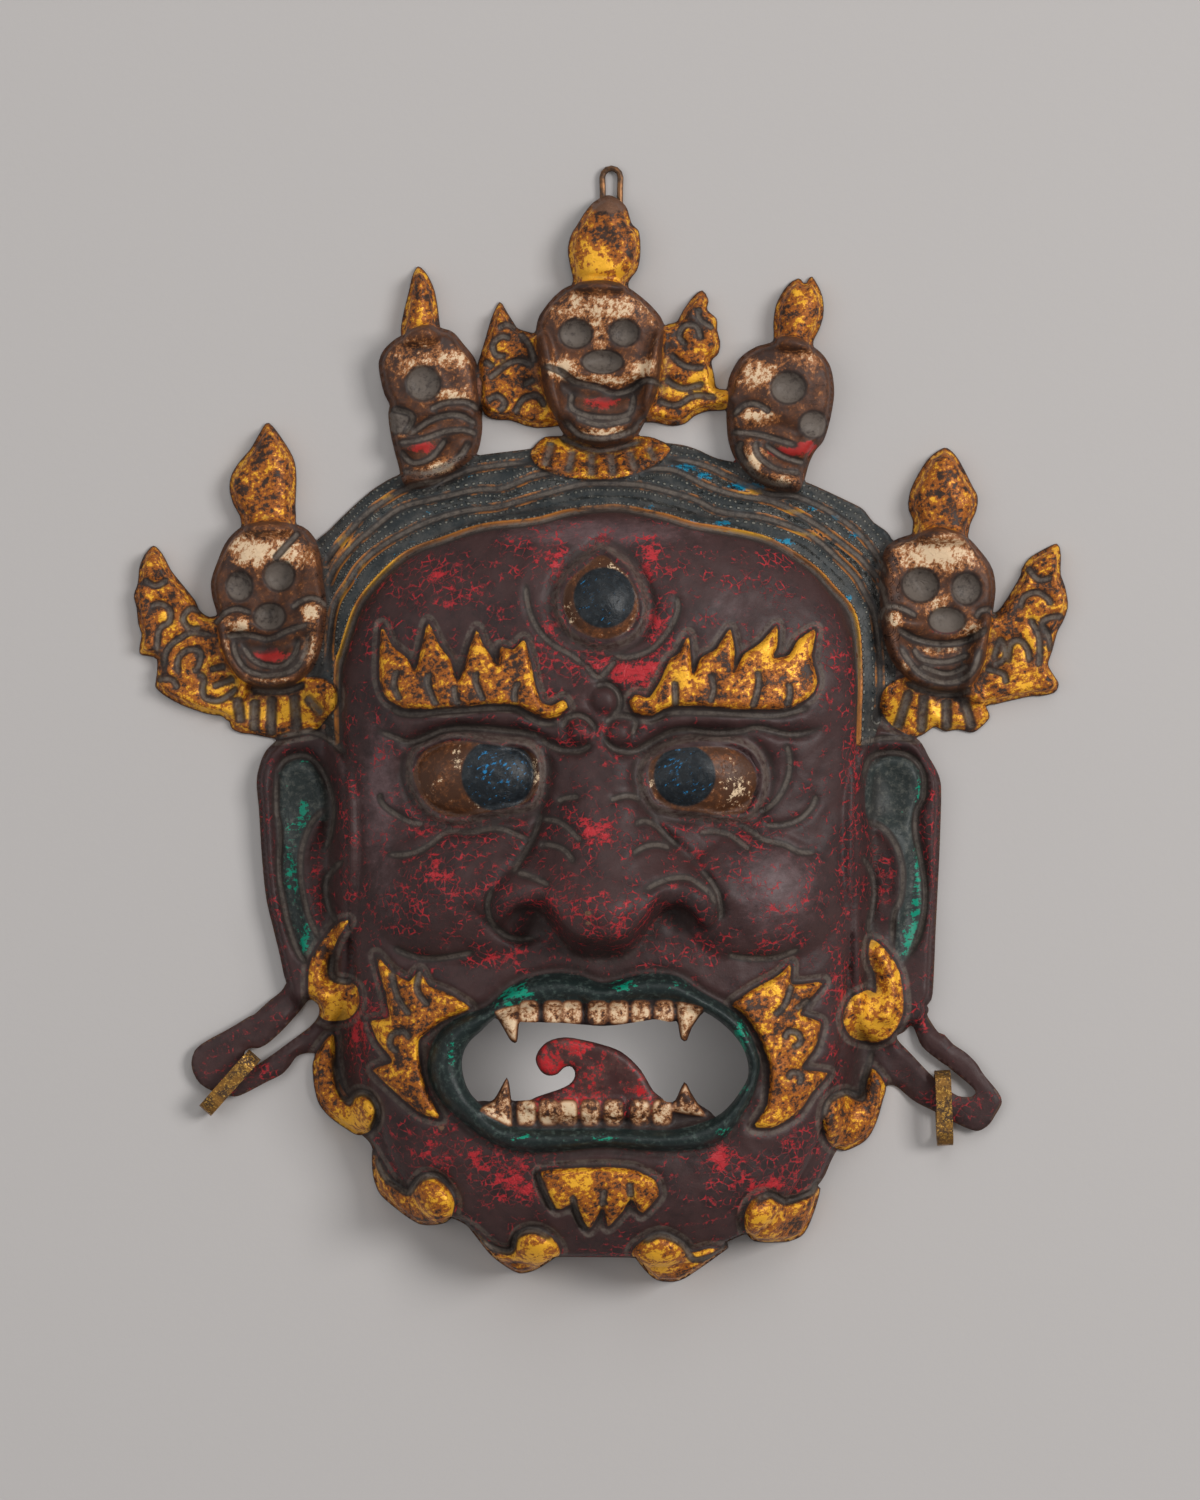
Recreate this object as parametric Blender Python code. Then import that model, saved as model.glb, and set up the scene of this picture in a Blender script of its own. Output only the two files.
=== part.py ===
"""Embossed copper mask of a wrathful three-eyed protector with a crown of five skulls.

The mask lies on its back: the face looks up +Z, the top of the mask points to +Y and +X
is to the right of someone looking at the face. Lengths are metres. The relief is worked
out in drawing millimetres and scaled by UNIT, so the whole form follows MASK_HEIGHT, while
the sheet, the wire, the ring strip and the clearances keep sizes of their own.
"""

import bpy
import numpy as np
from mathutils import Vector
from mathutils.geometry import delaunay_2d_cdt

# Driving sizes, in metres
MASK_HEIGHT = 0.3565        # top of the wire loop to the lowest beard curl
FACE_DEPTH = 0.040          # forehead above the rim
NOSE_PROJECTION = 0.020     # nose tip above the face around it
HAIR_DEPTH = 0.015          # hair bands where they meet the forehead
SKULL_RELIEF = 0.0085       # crown skulls above the rim
WING_RELIEF = 0.0055        # crown scrolls above the rim
EAR_RELIEF = 0.0060
SHEET = 0.0009              # thickness of the copper
WIRE = 0.0019               # diameter of the loop wire
STRIP = 0.0012              # thickness of the earring strip
STRIP_WIDTH = 0.0050
RING_LENGTH = 0.0240        # earring, end to end
RING_HEIGHT = 0.0088        # earring, front to back
CLEARANCE = 0.0004

# Scale of the drawing, and how finely the sheet is cut
DRAWN_HEIGHT = 357.0
UNIT = MASK_HEIGHT / DRAWN_HEIGHT
GRID = 0.9                  # drawing millimetres between samples of the relief
EDGE_FINENESS = 0.42        # how far the cut edge may leave its curve
FOLD_FINENESS = 0.8         # the same for the folds of the raised forms
LONGEST_EDGE = 14.0
FACETS = 4380               # triangles on the front of the sheet
STEEPEST = 3.0              # slope up to which the sheet keeps its thickness
SMALLEST_HOLE = 8.0         # square drawing millimetres
RIM = 1.2                   # flat edge round the sheet
TURN = 2.6                  # width over which the relief rises from it


def drawn(metres):
    """A real size in drawing millimetres."""
    return metres / UNIT


LIFT_LOBE = drawn(STRIP + 3 * CLEARANCE)
LIFT_FINIAL = drawn(WIRE + 2 * CLEARANCE)


def ease(t):
    """Smooth step from 0 at t = 0 to 1 at t = 1."""
    t = np.clip(t, 0.0, 1.0)
    return t * t * (3.0 - 2.0 * t)


def curve(points, closed=True, bend=1.0, pieces=6):
    """Points along a smooth line through the given ones; bend 0 gives straight runs."""
    p = np.array(points, dtype=float)
    if closed:
        before, after, beyond = np.roll(p, 1, 0), np.roll(p, -1, 0), np.roll(p, -2, 0)
        start = p
    else:
        q = np.vstack([2 * p[0] - p[1], p, 2 * p[-1] - p[-2]])
        before, start, after, beyond = q[:-3], q[1:-2], q[2:-1], q[3:]
    leave = bend * (after - before) / 2
    arrive = bend * (beyond - start) / 2
    run = []
    for t in np.arange(pieces) / pieces:
        a, b = 2 * t ** 3 - 3 * t ** 2 + 1, t ** 3 - 2 * t ** 2 + t
        c, d = -2 * t ** 3 + 3 * t ** 2, t ** 3 - t ** 2
        run.append(a * start + b * leave + c * after + d * arrive)
    line = np.stack(run, axis=1).reshape(-1, 2)
    return line if closed else np.vstack([line, p[-1]])


def measure(line, x, y, closed):
    """Distance to the line, share of the way along it, and whether (x, y) is inside."""
    end = np.roll(line, -1, 0) if closed else line[1:]
    start = line if closed else line[:-1]
    best = np.full(x.shape, 1e12)
    along = np.zeros(x.shape)
    inside = np.zeros(x.shape, dtype=bool)
    for i, ((ax, ay), (bx, by)) in enumerate(zip(start, end)):
        dx, dy = bx - ax, by - ay
        t = np.clip(((x - ax) * dx + (y - ay) * dy) / (dx * dx + dy * dy + 1e-12), 0, 1)
        gap = (x - ax - t * dx) ** 2 + (y - ay - t * dy) ** 2
        nearer = gap < best
        best = np.where(nearer, gap, best)
        along = np.where(nearer, i + t, along)
        if closed and ay != by:
            inside ^= ((ay > y) != (by > y)) & (x < ax + (y - ay) * dx / dy)
    return np.sqrt(best), along / len(start), inside


def inward(line, x, y, margin=12.0):
    """Depth inside a closed line, negative outside and never below -margin."""
    depth = np.full(x.shape, -margin)
    low, high = line.min(0) - margin, line.max(0) + margin
    near = (x > low[0]) & (x < high[0]) & (y > low[1]) & (y < high[1])
    gap, _, inside = measure(line, x[near], y[near], True)
    depth[near] = np.where(inside, gap, -np.minimum(gap, margin))
    return depth


# Plates of the sheet: closed outlines in drawing millimetres, (0, 0) between the eyes
HEAD = curve([
    (-93, 55), (-86.5, 62.3), (-81.3, 67.5), (-75.6, 72.7), (-71, 76.2), (-64.6, 79.6),
    (-50, 84), (-38, 86), (-22, 88), (0, 91), (22, 89.7), (30, 88), (38, 84.6), (52, 82),
    (65.8, 77.2), (72, 74.5), (79.8, 70.8), (83.8, 68.6), (87.1, 64.5), (93.2, 58.5),
    (95, 40), (93, 10), (86, -10), (84, -60), (86, -96), (88.5, -108), (85, -120),
    (74.5, -138), (69.9, -147), (58, -158), (43, -164.5), (28, -171), (8, -170.7),
    (-10.4, -170.5), (-28, -170), (-44.6, -159.4), (-60, -154), (-70, -145),
    (-73.4, -135), (-77, -130.4), (-84, -118), (-86, -96), (-84, -60), (-86, -10),
    (-94, 10), (-96, 36)])
EAR_LEFT = curve([
    (-88, -1), (-99, -2.6), (-106.6, -8), (-109.4, -14.2), (-110.1, -19.4), (-109.4, -27),
    (-108.8, -37), (-108.1, -46.3), (-106.9, -56.5), (-104.6, -66.2), (-102.7, -74),
    (-100.8, -82.2), (-97, -90), (-84, -97), (-78, -60), (-78, -20)])
EAR_RIGHT = curve([
    (86, -1), (100, -4), (105.1, -11), (108.2, -17), (108.8, -23), (108.3, -40),
    (107.7, -52.7), (107, -67), (106.4, -81.5), (105.8, -87.9), (104.3, -90), (104.2, -93),
    (95, -102), (82, -98), (78, -60), (78, -20)])
LOBE_LEFT = curve([
    (-97, -80), (-102.1, -85.4), (-106.3, -88.8), (-110.8, -92.9), (-112.5, -93.6),
    (-117.9, -96.9), (-126.3, -101.5), (-129.6, -104.2), (-130.8, -107.9),
    (-130.2, -111.5), (-128, -115), (-124, -117.4), (-119.6, -118.6), (-115.4, -118.8),
    (-106.7, -114.4), (-102.1, -112.1), (-99.6, -109.6), (-97.1, -106.3), (-93.3, -105.2),
    (-86, -105), (-84, -92)], bend=0.9)
LOBE_RIGHT = curve([
    (104.3, -90.5), (104.3, -93.1), (107.6, -98.4), (109.9, -99.4), (112.4, -102.3),
    (116.6, -105.1), (120.1, -108.6), (122.3, -112.1), (127.2, -118.1), (128, -121.3),
    (126.1, -124.8), (123.7, -128.3), (119.8, -130.1), (112.7, -127.3), (107.1, -124.1),
    (100.1, -120.6), (94.1, -115.8), (88, -114), (84, -98), (95, -88)], bend=0.9)
SLOT_LEFT = curve([
    (-93.3, -88.3), (-90.6, -89.8), (-90.2, -93), (-92.9, -96.7), (-98.3, -100.8),
    (-105.8, -106.3), (-109.5, -108.4), (-113, -107.5), (-113.6, -104.4), (-107.9, -103.1),
    (-102.1, -98.3), (-96.3, -91.9)])
SLOT_RIGHT = curve([
    (94.6, -100.5), (96.9, -98.6), (99.6, -96.6), (102.5, -103), (107.8, -107.5),
    (113.5, -111.8), (119.4, -117), (118.8, -119), (115.2, -119.2), (112, -117.7),
    (106.1, -112.8), (99.7, -106.1)])
CURLS = {
    "left ear curl": [
        (-85.4, -99), (-90, -103.5), (-92.1, -108), (-92.1, -112.5), (-91.5, -117.2),
        (-90, -121.9), (-86.7, -125.8), (-82.8, -128.7), (-77.5, -131.6), (-73.2, -129.4),
        (-70.8, -124.3), (-72.6, -118.6), (-77, -117), (-80.5, -119.6), (-83, -116.5),
        (-84.5, -108)],
    "left jaw curl": [
        (-73, -135.5), (-73.1, -142.8), (-71.9, -147.9), (-69.4, -151.8), (-60.4, -158.8),
        (-55.3, -160.4), (-48.8, -159), (-46.3, -153.1), (-46.6, -149.2), (-50.3, -144.2),
        (-56, -142.3), (-61, -147.5), (-66, -145.5), (-70.4, -139)],
    "left chin curl": [
        (-44.4, -157.9), (-40, -164), (-34.7, -170.4), (-27.7, -175.2), (-23.8, -175.6),
        (-19.4, -173.9), (-14.2, -170.1), (-12.8, -166), (-16.2, -161.3), (-21.3, -159.2),
        (-26, -161), (-28.2, -166.6), (-34, -165.4), (-40, -160)],
    "right ear curl": [
        (86.2, -109.8), (91, -115.4), (90.1, -120.7), (88, -127.7), (85.2, -132.7),
        (81, -135.5), (76.8, -136.5), (72.3, -133.3), (70.2, -126), (71.8, -119.6),
        (77, -117), (81.5, -119), (84, -117)],
    "right jaw curl": [
        (69.7, -147.6), (69.2, -153), (65.5, -162.3), (61.3, -165.2), (56.3, -165.9),
        (49.3, -165.5), (46.4, -162.6), (45.1, -156.5), (47, -151), (51.5, -148.5),
        (57, -151.5), (63, -151.5)],
    "right chin curl": [
        (41, -166.8), (37.3, -170.2), (29.6, -175.6), (26.1, -177.7), (22.5, -178.5),
        (16.9, -177.4), (11.6, -171.6), (9.7, -166.8), (14.3, -162.2), (19.5, -160.6),
        (25.4, -163.6), (28.8, -167), (34, -166)]}
CURLS = {name: curve(points) for name, points in CURLS.items()}

CENTRE_SKULL = curve([
    (0, 141.3), (-9.5, 140.2), (-14, 137.5), (-18, 133), (-20.4, 128.5), (-20.8, 121),
    (-19.6, 113), (-18, 104), (-14, 96), (-10, 91), (0, 88), (10, 90.5), (14.5, 97.5),
    (18, 105), (19.4, 113), (20, 121), (20, 128), (17, 132.7), (12, 137.2), (7.5, 140)])
CENTRE_COLLAR = curve([
    (-14, 92), (-18.6, 91.4), (-22.6, 86.7), (-20, 81.6), (-11.5, 78.4), (1.3, 77.4),
    (11.1, 79.4), (18.3, 83), (22.3, 88), (15.5, 91.8), (0, 92)], bend=0.8)
CENTRE_FINIAL = curve([
    (2.8, 168.8), (-2, 166.8), (-5, 163.5), (-7.5, 159.5), (-9.6, 156), (-10.6, 151.5),
    (-10, 147), (-9, 142.5), (-8, 137), (7, 137), (9, 141.5), (11.6, 145), (12.6, 150),
    (12.2, 157), (9.8, 159.8), (7.8, 165.5)])
MID_LEFT_SKULL = curve([
    (-50.5, 126.4), (-47, 125), (-44, 121.5), (-41.5, 118.5), (-39.8, 115.5), (-38.6, 108),
    (-38, 99), (-38.2, 92), (-40.5, 85), (-48, 79), (-57, 74.6), (-63, 76.3), (-64.6, 82),
    (-66.2, 88), (-67.5, 94), (-68, 99), (-67.6, 102), (-69.3, 105.5), (-70.8, 112),
    (-71, 116), (-69.5, 119.5), (-66.6, 122.4), (-64, 124), (-57, 127)])
MID_LEFT_FINIAL = curve([
    (-58.5, 146.3), (-60.4, 143), (-61.5, 138), (-63, 132), (-64, 125), (-62, 120),
    (-52, 121), (-51.4, 126.5), (-51.7, 129), (-52.3, 134), (-53.5, 139.5),
    (-55.8, 144)], bend=0.9)
MID_RIGHT_SKULL = curve([
    (57, 123.5), (54, 121.8), (49.5, 120.5), (45, 117.5), (42.5, 114), (40.8, 110),
    (40.2, 104), (40.2, 96), (41, 89.5), (43.5, 83.5), (48, 78), (55, 74.2), (62, 73.4),
    (64.6, 76.5), (66.5, 83), (68.5, 87.2), (71.2, 90.5), (73, 96), (74.2, 102),
    (74.6, 107), (73.6, 113.6), (71, 118), (67.5, 120.8), (62, 123.3)])
MID_RIGHT_FINIAL = curve([
    (63.4, 142.5), (60.5, 141), (58, 138), (56, 134), (55.3, 130), (55.2, 126),
    (56.5, 119), (67, 118), (68, 122.5), (70, 126.5), (71.2, 131), (71, 136),
    (69.5, 140), (67.2, 143.2), (65.3, 140.6)], bend=0.85)
FAR_LEFT_SKULL = curve([
    (-106, 64.6), (-113, 63.6), (-116.3, 62), (-120, 58), (-122.6, 52), (-124.6, 46),
    (-124.4, 41), (-122.8, 35), (-121.8, 27.5), (-119.5, 20), (-114.5, 13.5), (-106, 10.5),
    (-98, 12), (-91.5, 17), (-88, 26), (-86.8, 36), (-88, 46), (-88.6, 52), (-91, 58.5),
    (-96, 63.4)])
FAR_LEFT_COLLAR = curve([
    (-113, 15), (-116.5, 9), (-118.6, 1.5), (-118, -1.6), (-115, -3), (-111.4, -3.4),
    (-104, -4.7), (-97, -3.6), (-91, -2.4), (-87, 2), (-83.6, 6), (-84, 11.5),
    (-89, 14.6), (-98, 15)], bend=0.8)
FAR_LEFT_FINIAL = curve([
    (-106.3, 96.3), (-109.4, 92.5), (-112, 88), (-115.8, 83.5), (-118.2, 79.5),
    (-118.8, 75), (-117.5, 70), (-115.5, 66.5), (-113, 60), (-99, 60), (-97.6, 65),
    (-97.7, 70), (-97.4, 78), (-98, 84), (-101, 89.7)], bend=0.9)
FAR_RIGHT_SKULL = curve([
    (108, 62.6), (101, 61), (94, 58.8), (90, 55), (88.8, 46), (88.4, 36), (89.6, 26.5),
    (93, 18.5), (98.4, 13.2), (105, 10.3), (112, 9.8), (118, 12.2), (122, 18.5),
    (123.6, 26), (124.6, 33), (125.7, 38), (126.2, 44), (125, 50), (121.4, 55.2),
    (116.5, 60)])
FAR_RIGHT_COLLAR = curve([
    (97, 15), (90, 11), (88.6, 5), (92, 0), (96.5, -3), (99.5, -4.2), (102.9, -3.6),
    (106.7, -1), (110, -2.5), (114.2, -1.9), (119.2, -2.8), (124.2, 1.7), (123.2, 5.4),
    (118.5, 13)], bend=0.7)
FAR_RIGHT_FINIAL = curve([
    (110.6, 88.2), (108, 87.4), (104.6, 84.6), (101, 79), (98.8, 74), (98.3, 69),
    (99.8, 65), (101, 58), (116.5, 57), (117.4, 60), (118.2, 64), (120, 68),
    (120.5, 72.5), (118.8, 76), (116.2, 81.2), (113.6, 85.6)])
CENTRE_LEFT_WING = curve([
    (-32.2, 135), (-34.1, 132), (-35.6, 128), (-37, 123), (-38.2, 119), (-39.2, 115),
    (-38.8, 108), (-38.4, 102), (-36.8, 98.6), (-33.6, 97.2), (-29, 97), (-24, 95.3),
    (-19, 94.6), (-12, 97), (-14, 112), (-17, 124), (-22, 125), (-26.5, 126.4),
    (-28.2, 128.8), (-30, 131.6)], bend=0.9)
CENTRE_RIGHT_WING = curve([
    (32.5, 138.6), (34.4, 135.5), (34, 132.4), (37, 129.5), (37.2, 125.6), (38.2, 122),
    (37.6, 118.4), (35.4, 116), (36.2, 111.5), (37, 107.5), (40.4, 106.6), (42.3, 103.5),
    (40, 100.4), (34, 99.9), (30, 98.4), (27, 96), (23, 95.2), (18, 96.2), (13, 98),
    (14, 112), (17, 124), (21, 127.6), (24.2, 128.6), (26.4, 132.4), (29.5, 136.6)],
    bend=0.9)
FAR_LEFT_WING = curve([
    (-143, 57), (-146, 54), (-147.6, 50), (-148.1, 45), (-149.4, 41), (-148.5, 37),
    (-148, 32), (-146.9, 28.6), (-147.6, 24.4), (-147.3, 22.1), (-144, 21.5),
    (-142, 20.5), (-142, 16), (-142.5, 11.8), (-139.7, 9.1), (-136.2, 7), (-132, 5.1),
    (-125.8, 3.1), (-121.3, 2.4), (-118, 1), (-112, 12), (-118, 24), (-121, 34),
    (-125.4, 34.2), (-128.3, 36.2), (-129.8, 39.4), (-132.6, 43), (-137.4, 49),
    (-140, 54)], bend=0.8)
FAR_RIGHT_WING = curve([
    (146, 57.6), (147.1, 54), (147, 48), (148.4, 44), (149.4, 37.8), (148, 33.1),
    (146, 29.4), (144.4, 23.5), (143, 19), (144.8, 15.6), (146.4, 12.8), (145.2, 10),
    (141, 8.9), (137.6, 8.8), (131, 7.4), (123.5, 6), (115, 9), (118, 26), (121, 34),
    (126.6, 35.8), (129.5, 39.5), (131.2, 42.2), (134, 47), (134.6, 49.6), (137, 53),
    (142, 56)], bend=0.8)
FINIALS = (CENTRE_FINIAL, MID_LEFT_FINIAL, MID_RIGHT_FINIAL, FAR_LEFT_FINIAL,
           FAR_RIGHT_FINIAL)
SKULLS = (CENTRE_SKULL, MID_LEFT_SKULL, MID_RIGHT_SKULL, FAR_LEFT_SKULL, FAR_RIGHT_SKULL)
COLLARS = (CENTRE_COLLAR, FAR_LEFT_COLLAR, FAR_RIGHT_COLLAR)
WINGS = (CENTRE_LEFT_WING, CENTRE_RIGHT_WING, FAR_LEFT_WING, FAR_RIGHT_WING)

# The mouth: an oval opening with teeth, four fangs and the curled tongue left standing in it
LIPS = curve([
    (-54.6, -110), (-53.8, -103), (-50.8, -97), (-44.6, -92.2), (-36, -89), (-29.5, -83.6),
    (-23, -80), (-15, -78.4), (-7, -79), (0.5, -81.4), (8, -79.8), (15, -78.4),
    (24, -79.4), (31, -84), (40, -89.2), (45.4, -94.6), (49.2, -103), (50, -108.5),
    (47.7, -117), (43.8, -124), (38.5, -130.6), (31, -133.9), (16, -134.3), (1, -133.2),
    (-14, -134.6), (-26, -134.6), (-36, -131), (-46.2, -123), (-51.5, -117.6)])
OPENING = curve([
    (-43.7, -107), (-42, -101), (-37.4, -96.4), (-32, -91.6), (-25, -88.8), (-12, -87.4),
    (0, -88), (12, -86.8), (24, -87.2), (33, -90.8), (40, -96), (44.9, -102.6),
    (46.4, -110), (43.9, -115.6), (39.4, -121.2), (34, -124.6), (22, -127.6), (0, -127),
    (-20, -127.2), (-31, -125.6), (-37.6, -120), (-42, -114.6)])
UPPER_TEETH = curve([
    (-31, -92), (-25.4, -93.6), (-12.3, -93.9), (-4.6, -94.6), (1.5, -94.9), (7.7, -94.2),
    (16.9, -92.8), (22.4, -93.6), (32, -91), (34, -80), (0, -78), (-34, -80)], bend=0.7)
LOWER_TEETH = curve([
    (-40, -119.5), (-33, -119), (-26, -118.6), (-10, -117.3), (0, -116.8), (10, -117.3),
    (20.5, -118.9), (30, -119.6), (36, -124), (38, -134), (0, -136), (-42, -132)], bend=0.7)
TONGUE = curve([
    (-24, -120.5), (-21.5, -118), (-16.9, -116.2), (-12.3, -114.6), (-9.2, -112.7),
    (-8.1, -110), (-9.2, -107.8), (-11.5, -108), (-13.8, -110.2), (-16.9, -110.5),
    (-19.2, -108.8), (-20.5, -105.4), (-19.2, -102.2), (-16.2, -99.6), (-11.5, -98.5),
    (-6.2, -99.2), (1.5, -101.1), (6.9, -103.4), (11.5, -107.6), (13.9, -111),
    (16.4, -115.4), (20, -119.5), (12, -124), (-16, -124)])
FANGS = [curve(points, bend=0.5) for points in (
    [(-33.5, -90), (-30.6, -95.8), (-28.4, -99.6), (-26.4, -100.4), (-25.9, -96),
     (-25.6, -88)],
    [(23.6, -87), (24.2, -94.6), (25, -99), (26.8, -99.9), (28.5, -95.6), (32.5, -89)],
    [(-38.5, -121.5), (-33.6, -118.2), (-30.9, -113.4), (-29.5, -111), (-28.7, -114),
     (-27.8, -127)],
    [(22, -122), (23.9, -117.4), (25.4, -113.8), (26.5, -112.4), (28, -115.4),
     (30.4, -119.4), (33.6, -124)])]

# The face: gold flames of brows, moustache and chin tuft, the three eyes and the ears
LEFT_BROW = curve([
    (-70, 18), (-69.6, 12.6), (-67.4, 7.6), (-62, 4.6), (-55.8, 4.3), (-46.6, 4.2),
    (-36.5, 5.8), (-26.4, 5.3), (-21.6, 3), (-17.3, 1.3), (-13.4, 1.8), (-10.2, 5),
    (-11.8, 7.6), (-15, 5.8), (-18.3, 6.4), (-20.4, 12), (-22, 20), (-24, 26.4),
    (-27.6, 23.2), (-31.6, 24), (-32.4, 18.6), (-34.4, 21.4), (-37, 25), (-38.9, 29.8),
    (-41.4, 23.4), (-43, 17.6), (-45, 13.4), (-47.1, 19.8), (-50.6, 24.6), (-54.4, 32),
    (-56.7, 23.2), (-58.4, 16.6), (-61.1, 20.8), (-65.6, 24.6), (-69.3, 31)], bend=0.6)
RIGHT_BROW = curve([
    (8.6, 6.8), (11, 9.2), (15, 8.2), (18.6, 13.6), (21.2, 19.8), (24.2, 22),
    (27.4, 27.8), (28.3, 21), (28.9, 15.2), (31.2, 20.6), (36, 23.4), (40.5, 29.8),
    (42.1, 23.1), (41.8, 16.4), (44.6, 21.6), (50, 25.4), (55.4, 31), (55.6, 24.4),
    (54.2, 20.8), (59, 21.6), (62, 26.4), (67.8, 29.8), (66.6, 21), (68.3, 13.8),
    (66.5, 9), (59.3, 4.5), (47.9, 4.2), (40.8, 4.2), (31, 5.3), (22, 5), (15.7, 2),
    (10.4, 3)], bend=0.6)
LEFT_MOUSTACHE = curve([
    (-71.2, -73), (-66, -78), (-60.5, -81), (-57, -77.6), (-54, -82.4), (-47.7, -84.8),
    (-40.6, -89.6), (-50.1, -94), (-57, -99.5), (-57, -106), (-54.6, -116),
    (-50.4, -124.6), (-57, -123), (-64, -117.4), (-72.4, -109.6), (-66, -106.6),
    (-70.6, -100.4), (-73, -94), (-66.8, -92)], bend=0.5)
RIGHT_MOUSTACHE = curve([
    (40.8, -88.4), (47, -83.8), (55.6, -79.2), (59.9, -75.4), (60.2, -82), (70.4, -81.4),
    (66, -87), (63, -91.6), (69.6, -94.4), (67.6, -102.4), (63.4, -108.6), (72.2, -110.6),
    (67, -116.4), (62, -123.5), (54, -127.5), (47.9, -127), (52.2, -120), (52.8, -108),
    (49.3, -98.2), (45, -92)], bend=0.5)
CHIN_TUFT = curve([
    (-19, -140.6), (-10, -139.6), (0, -139.2), (10, -139.9), (16.9, -143.4), (18.4, -148.4),
    (12.7, -154.6), (9.6, -149.6), (6.6, -154), (2.2, -158.8), (0.6, -152.4),
    (-3.8, -159.8), (-8.6, -151.4), (-13.8, -153.2), (-18.6, -146)], bend=0.5)
THIRD_EYE = curve([
    (0, 56.2), (-4.6, 53.1), (-9.4, 49.4), (-12.9, 45), (-14.6, 39.8), (-14.2, 34.4),
    (-11.4, 29.2), (-6.3, 25.2), (0.4, 23.3), (7.3, 25), (11.8, 28.2), (13.9, 32.4),
    (14.6, 37.5), (13.4, 42.8), (10.4, 48.7), (6, 53)])
LEFT_EYE = curve([
    (-60.8, -15), (-59.6, -9.4), (-55.8, -6), (-46.2, -2.8), (-34.1, -4.6), (-24, -5.4),
    (-19, -9.4), (-18, -17), (-20.6, -25.8), (-28, -28), (-36, -29.4), (-44.6, -31.6),
    (-52.6, -29.8), (-57.4, -25), (-60, -20)])
RIGHT_EYE = curve([
    (12, -17), (13.8, -11.4), (19.5, -6.9), (27, -4.6), (36, -4.3), (44, -5.4),
    (49.6, -9.4), (52.1, -16), (51.2, -23), (47.4, -29.2), (41, -30.8), (30, -29.4),
    (20.7, -28.2), (14.7, -24.8)])


def outline(x, y):
    """Depth inside the sheet's outer edge: every plate joined, the lobe slots cut out."""
    plates = (HEAD, EAR_LEFT, EAR_RIGHT, LOBE_LEFT, LOBE_RIGHT, *CURLS.values(),
              *FINIALS, *SKULLS, *COLLARS, *WINGS)
    depth = inward(plates[0], x, y)
    for plate in plates[1:]:
        depth = np.maximum(depth, inward(plate, x, y))
    for slot in (SLOT_LEFT, SLOT_RIGHT):
        depth = np.minimum(depth, -inward(slot, x, y))
    for end in RING_SEATS:
        depth = np.minimum(depth, np.hypot(x - end[0], y - end[1]) - RING_ROOM)
    return depth


def mouth(x, y):
    """Depth inside the mouth's opening, what stands in it left out."""
    depth = inward(OPENING, x, y)
    for part in (UPPER_TEETH, LOWER_TEETH, TONGUE, *FANGS):
        depth = np.minimum(depth, -inward(part, x, y))
    return depth


class Relief:
    """A height above the rim at each (x, y), worked like sheet metal: raised and chased."""

    def __init__(self, x, y):
        self.x, self.y, self.z = x, y, np.zeros(x.shape)

    def near(self, line, margin):
        low, high = line.min(0) - margin, line.max(0) + margin
        return ((self.x > low[0]) & (self.x < high[0])
                & (self.y > low[1]) & (self.y < high[1]))

    def plate(self, line, rise, shoulder=2.5, puff=0.0, reach=10.0, trench=0.0, width=1.4):
        """Raise what is inside the line over a shoulder, puff it, and chase a line round it."""
        depth = inward(line, self.x, self.y)
        self.z += rise * ease(depth / shoulder + 0.25)
        self.z += puff * (1 - (1 - np.clip(depth / reach, 0, 1)) ** 2)
        self.z -= trench * np.exp(-((depth + 0.6 * width) / width) ** 2)

    def stroke(self, points, depth, width, ends=0.15):
        """Chase a line that thins towards its ends; a negative depth raises a rib."""
        line = curve(points, closed=False)
        near = self.near(line, 3 * width)
        gap, along, _ = measure(line, self.x[near], self.y[near], False)
        thin = ease(along / ends + 0.3) * ease((1 - along) / ends + 0.3)
        self.z[near] -= depth * thin * np.exp(-(gap / width) ** 2)

    def ball(self, cx, cy, rx, ry, rise, tilt=0.0, power=1.0):
        """Push up a round boss; a negative rise sinks a bowl."""
        c, s = np.cos(np.radians(tilt)), np.sin(np.radians(tilt))
        dx, dy = self.x - cx, self.y - cy
        u, v = (dx * c + dy * s) / rx, (dy * c - dx * s) / ry
        self.z += rise * np.clip(1 - u * u - v * v, 0, 1) ** power

    def mound(self, cx, cy, rx, ry, rise):
        """A soft swelling without an edge."""
        self.z += rise * np.exp(-((self.x - cx) / rx) ** 2 - ((self.y - cy) / ry) ** 2)


def roundness(x, y):
    """1 on the line where the face meets the hair and the ears, less inside the face."""
    up = ease((y + 30) / 60)
    wide, power = 80 + 3 * up, 3.4 - 0.9 * up
    tall = np.where(y > 0, 68.0, 172.0)
    return (np.abs(x / wide) ** power + np.abs(y / tall) ** power) ** (1 / power)


def base(x, y):
    """The large forms: the domed face, the hair bands falling away, the ear roots."""
    r = roundness(x, y)
    wall = drawn(HAIR_DEPTH)
    dome = drawn(FACE_DEPTH) - wall
    face = wall + dome * np.sqrt(np.clip(1 - np.clip(r, 0, 1) ** 2.3, 0, 1))
    hair = wall * np.clip((1.31 - r) / 0.31, 0, 1) ** 0.85
    skirt = wall * ease(1 - (r - 1) / 0.10)
    low = ease((y + 4) / 18)
    outside = hair * low + (skirt * 0.85 + ease((1.6 - r) / 0.25)) * (1 - low)
    return np.where(r < 1, face, outside)


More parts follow.
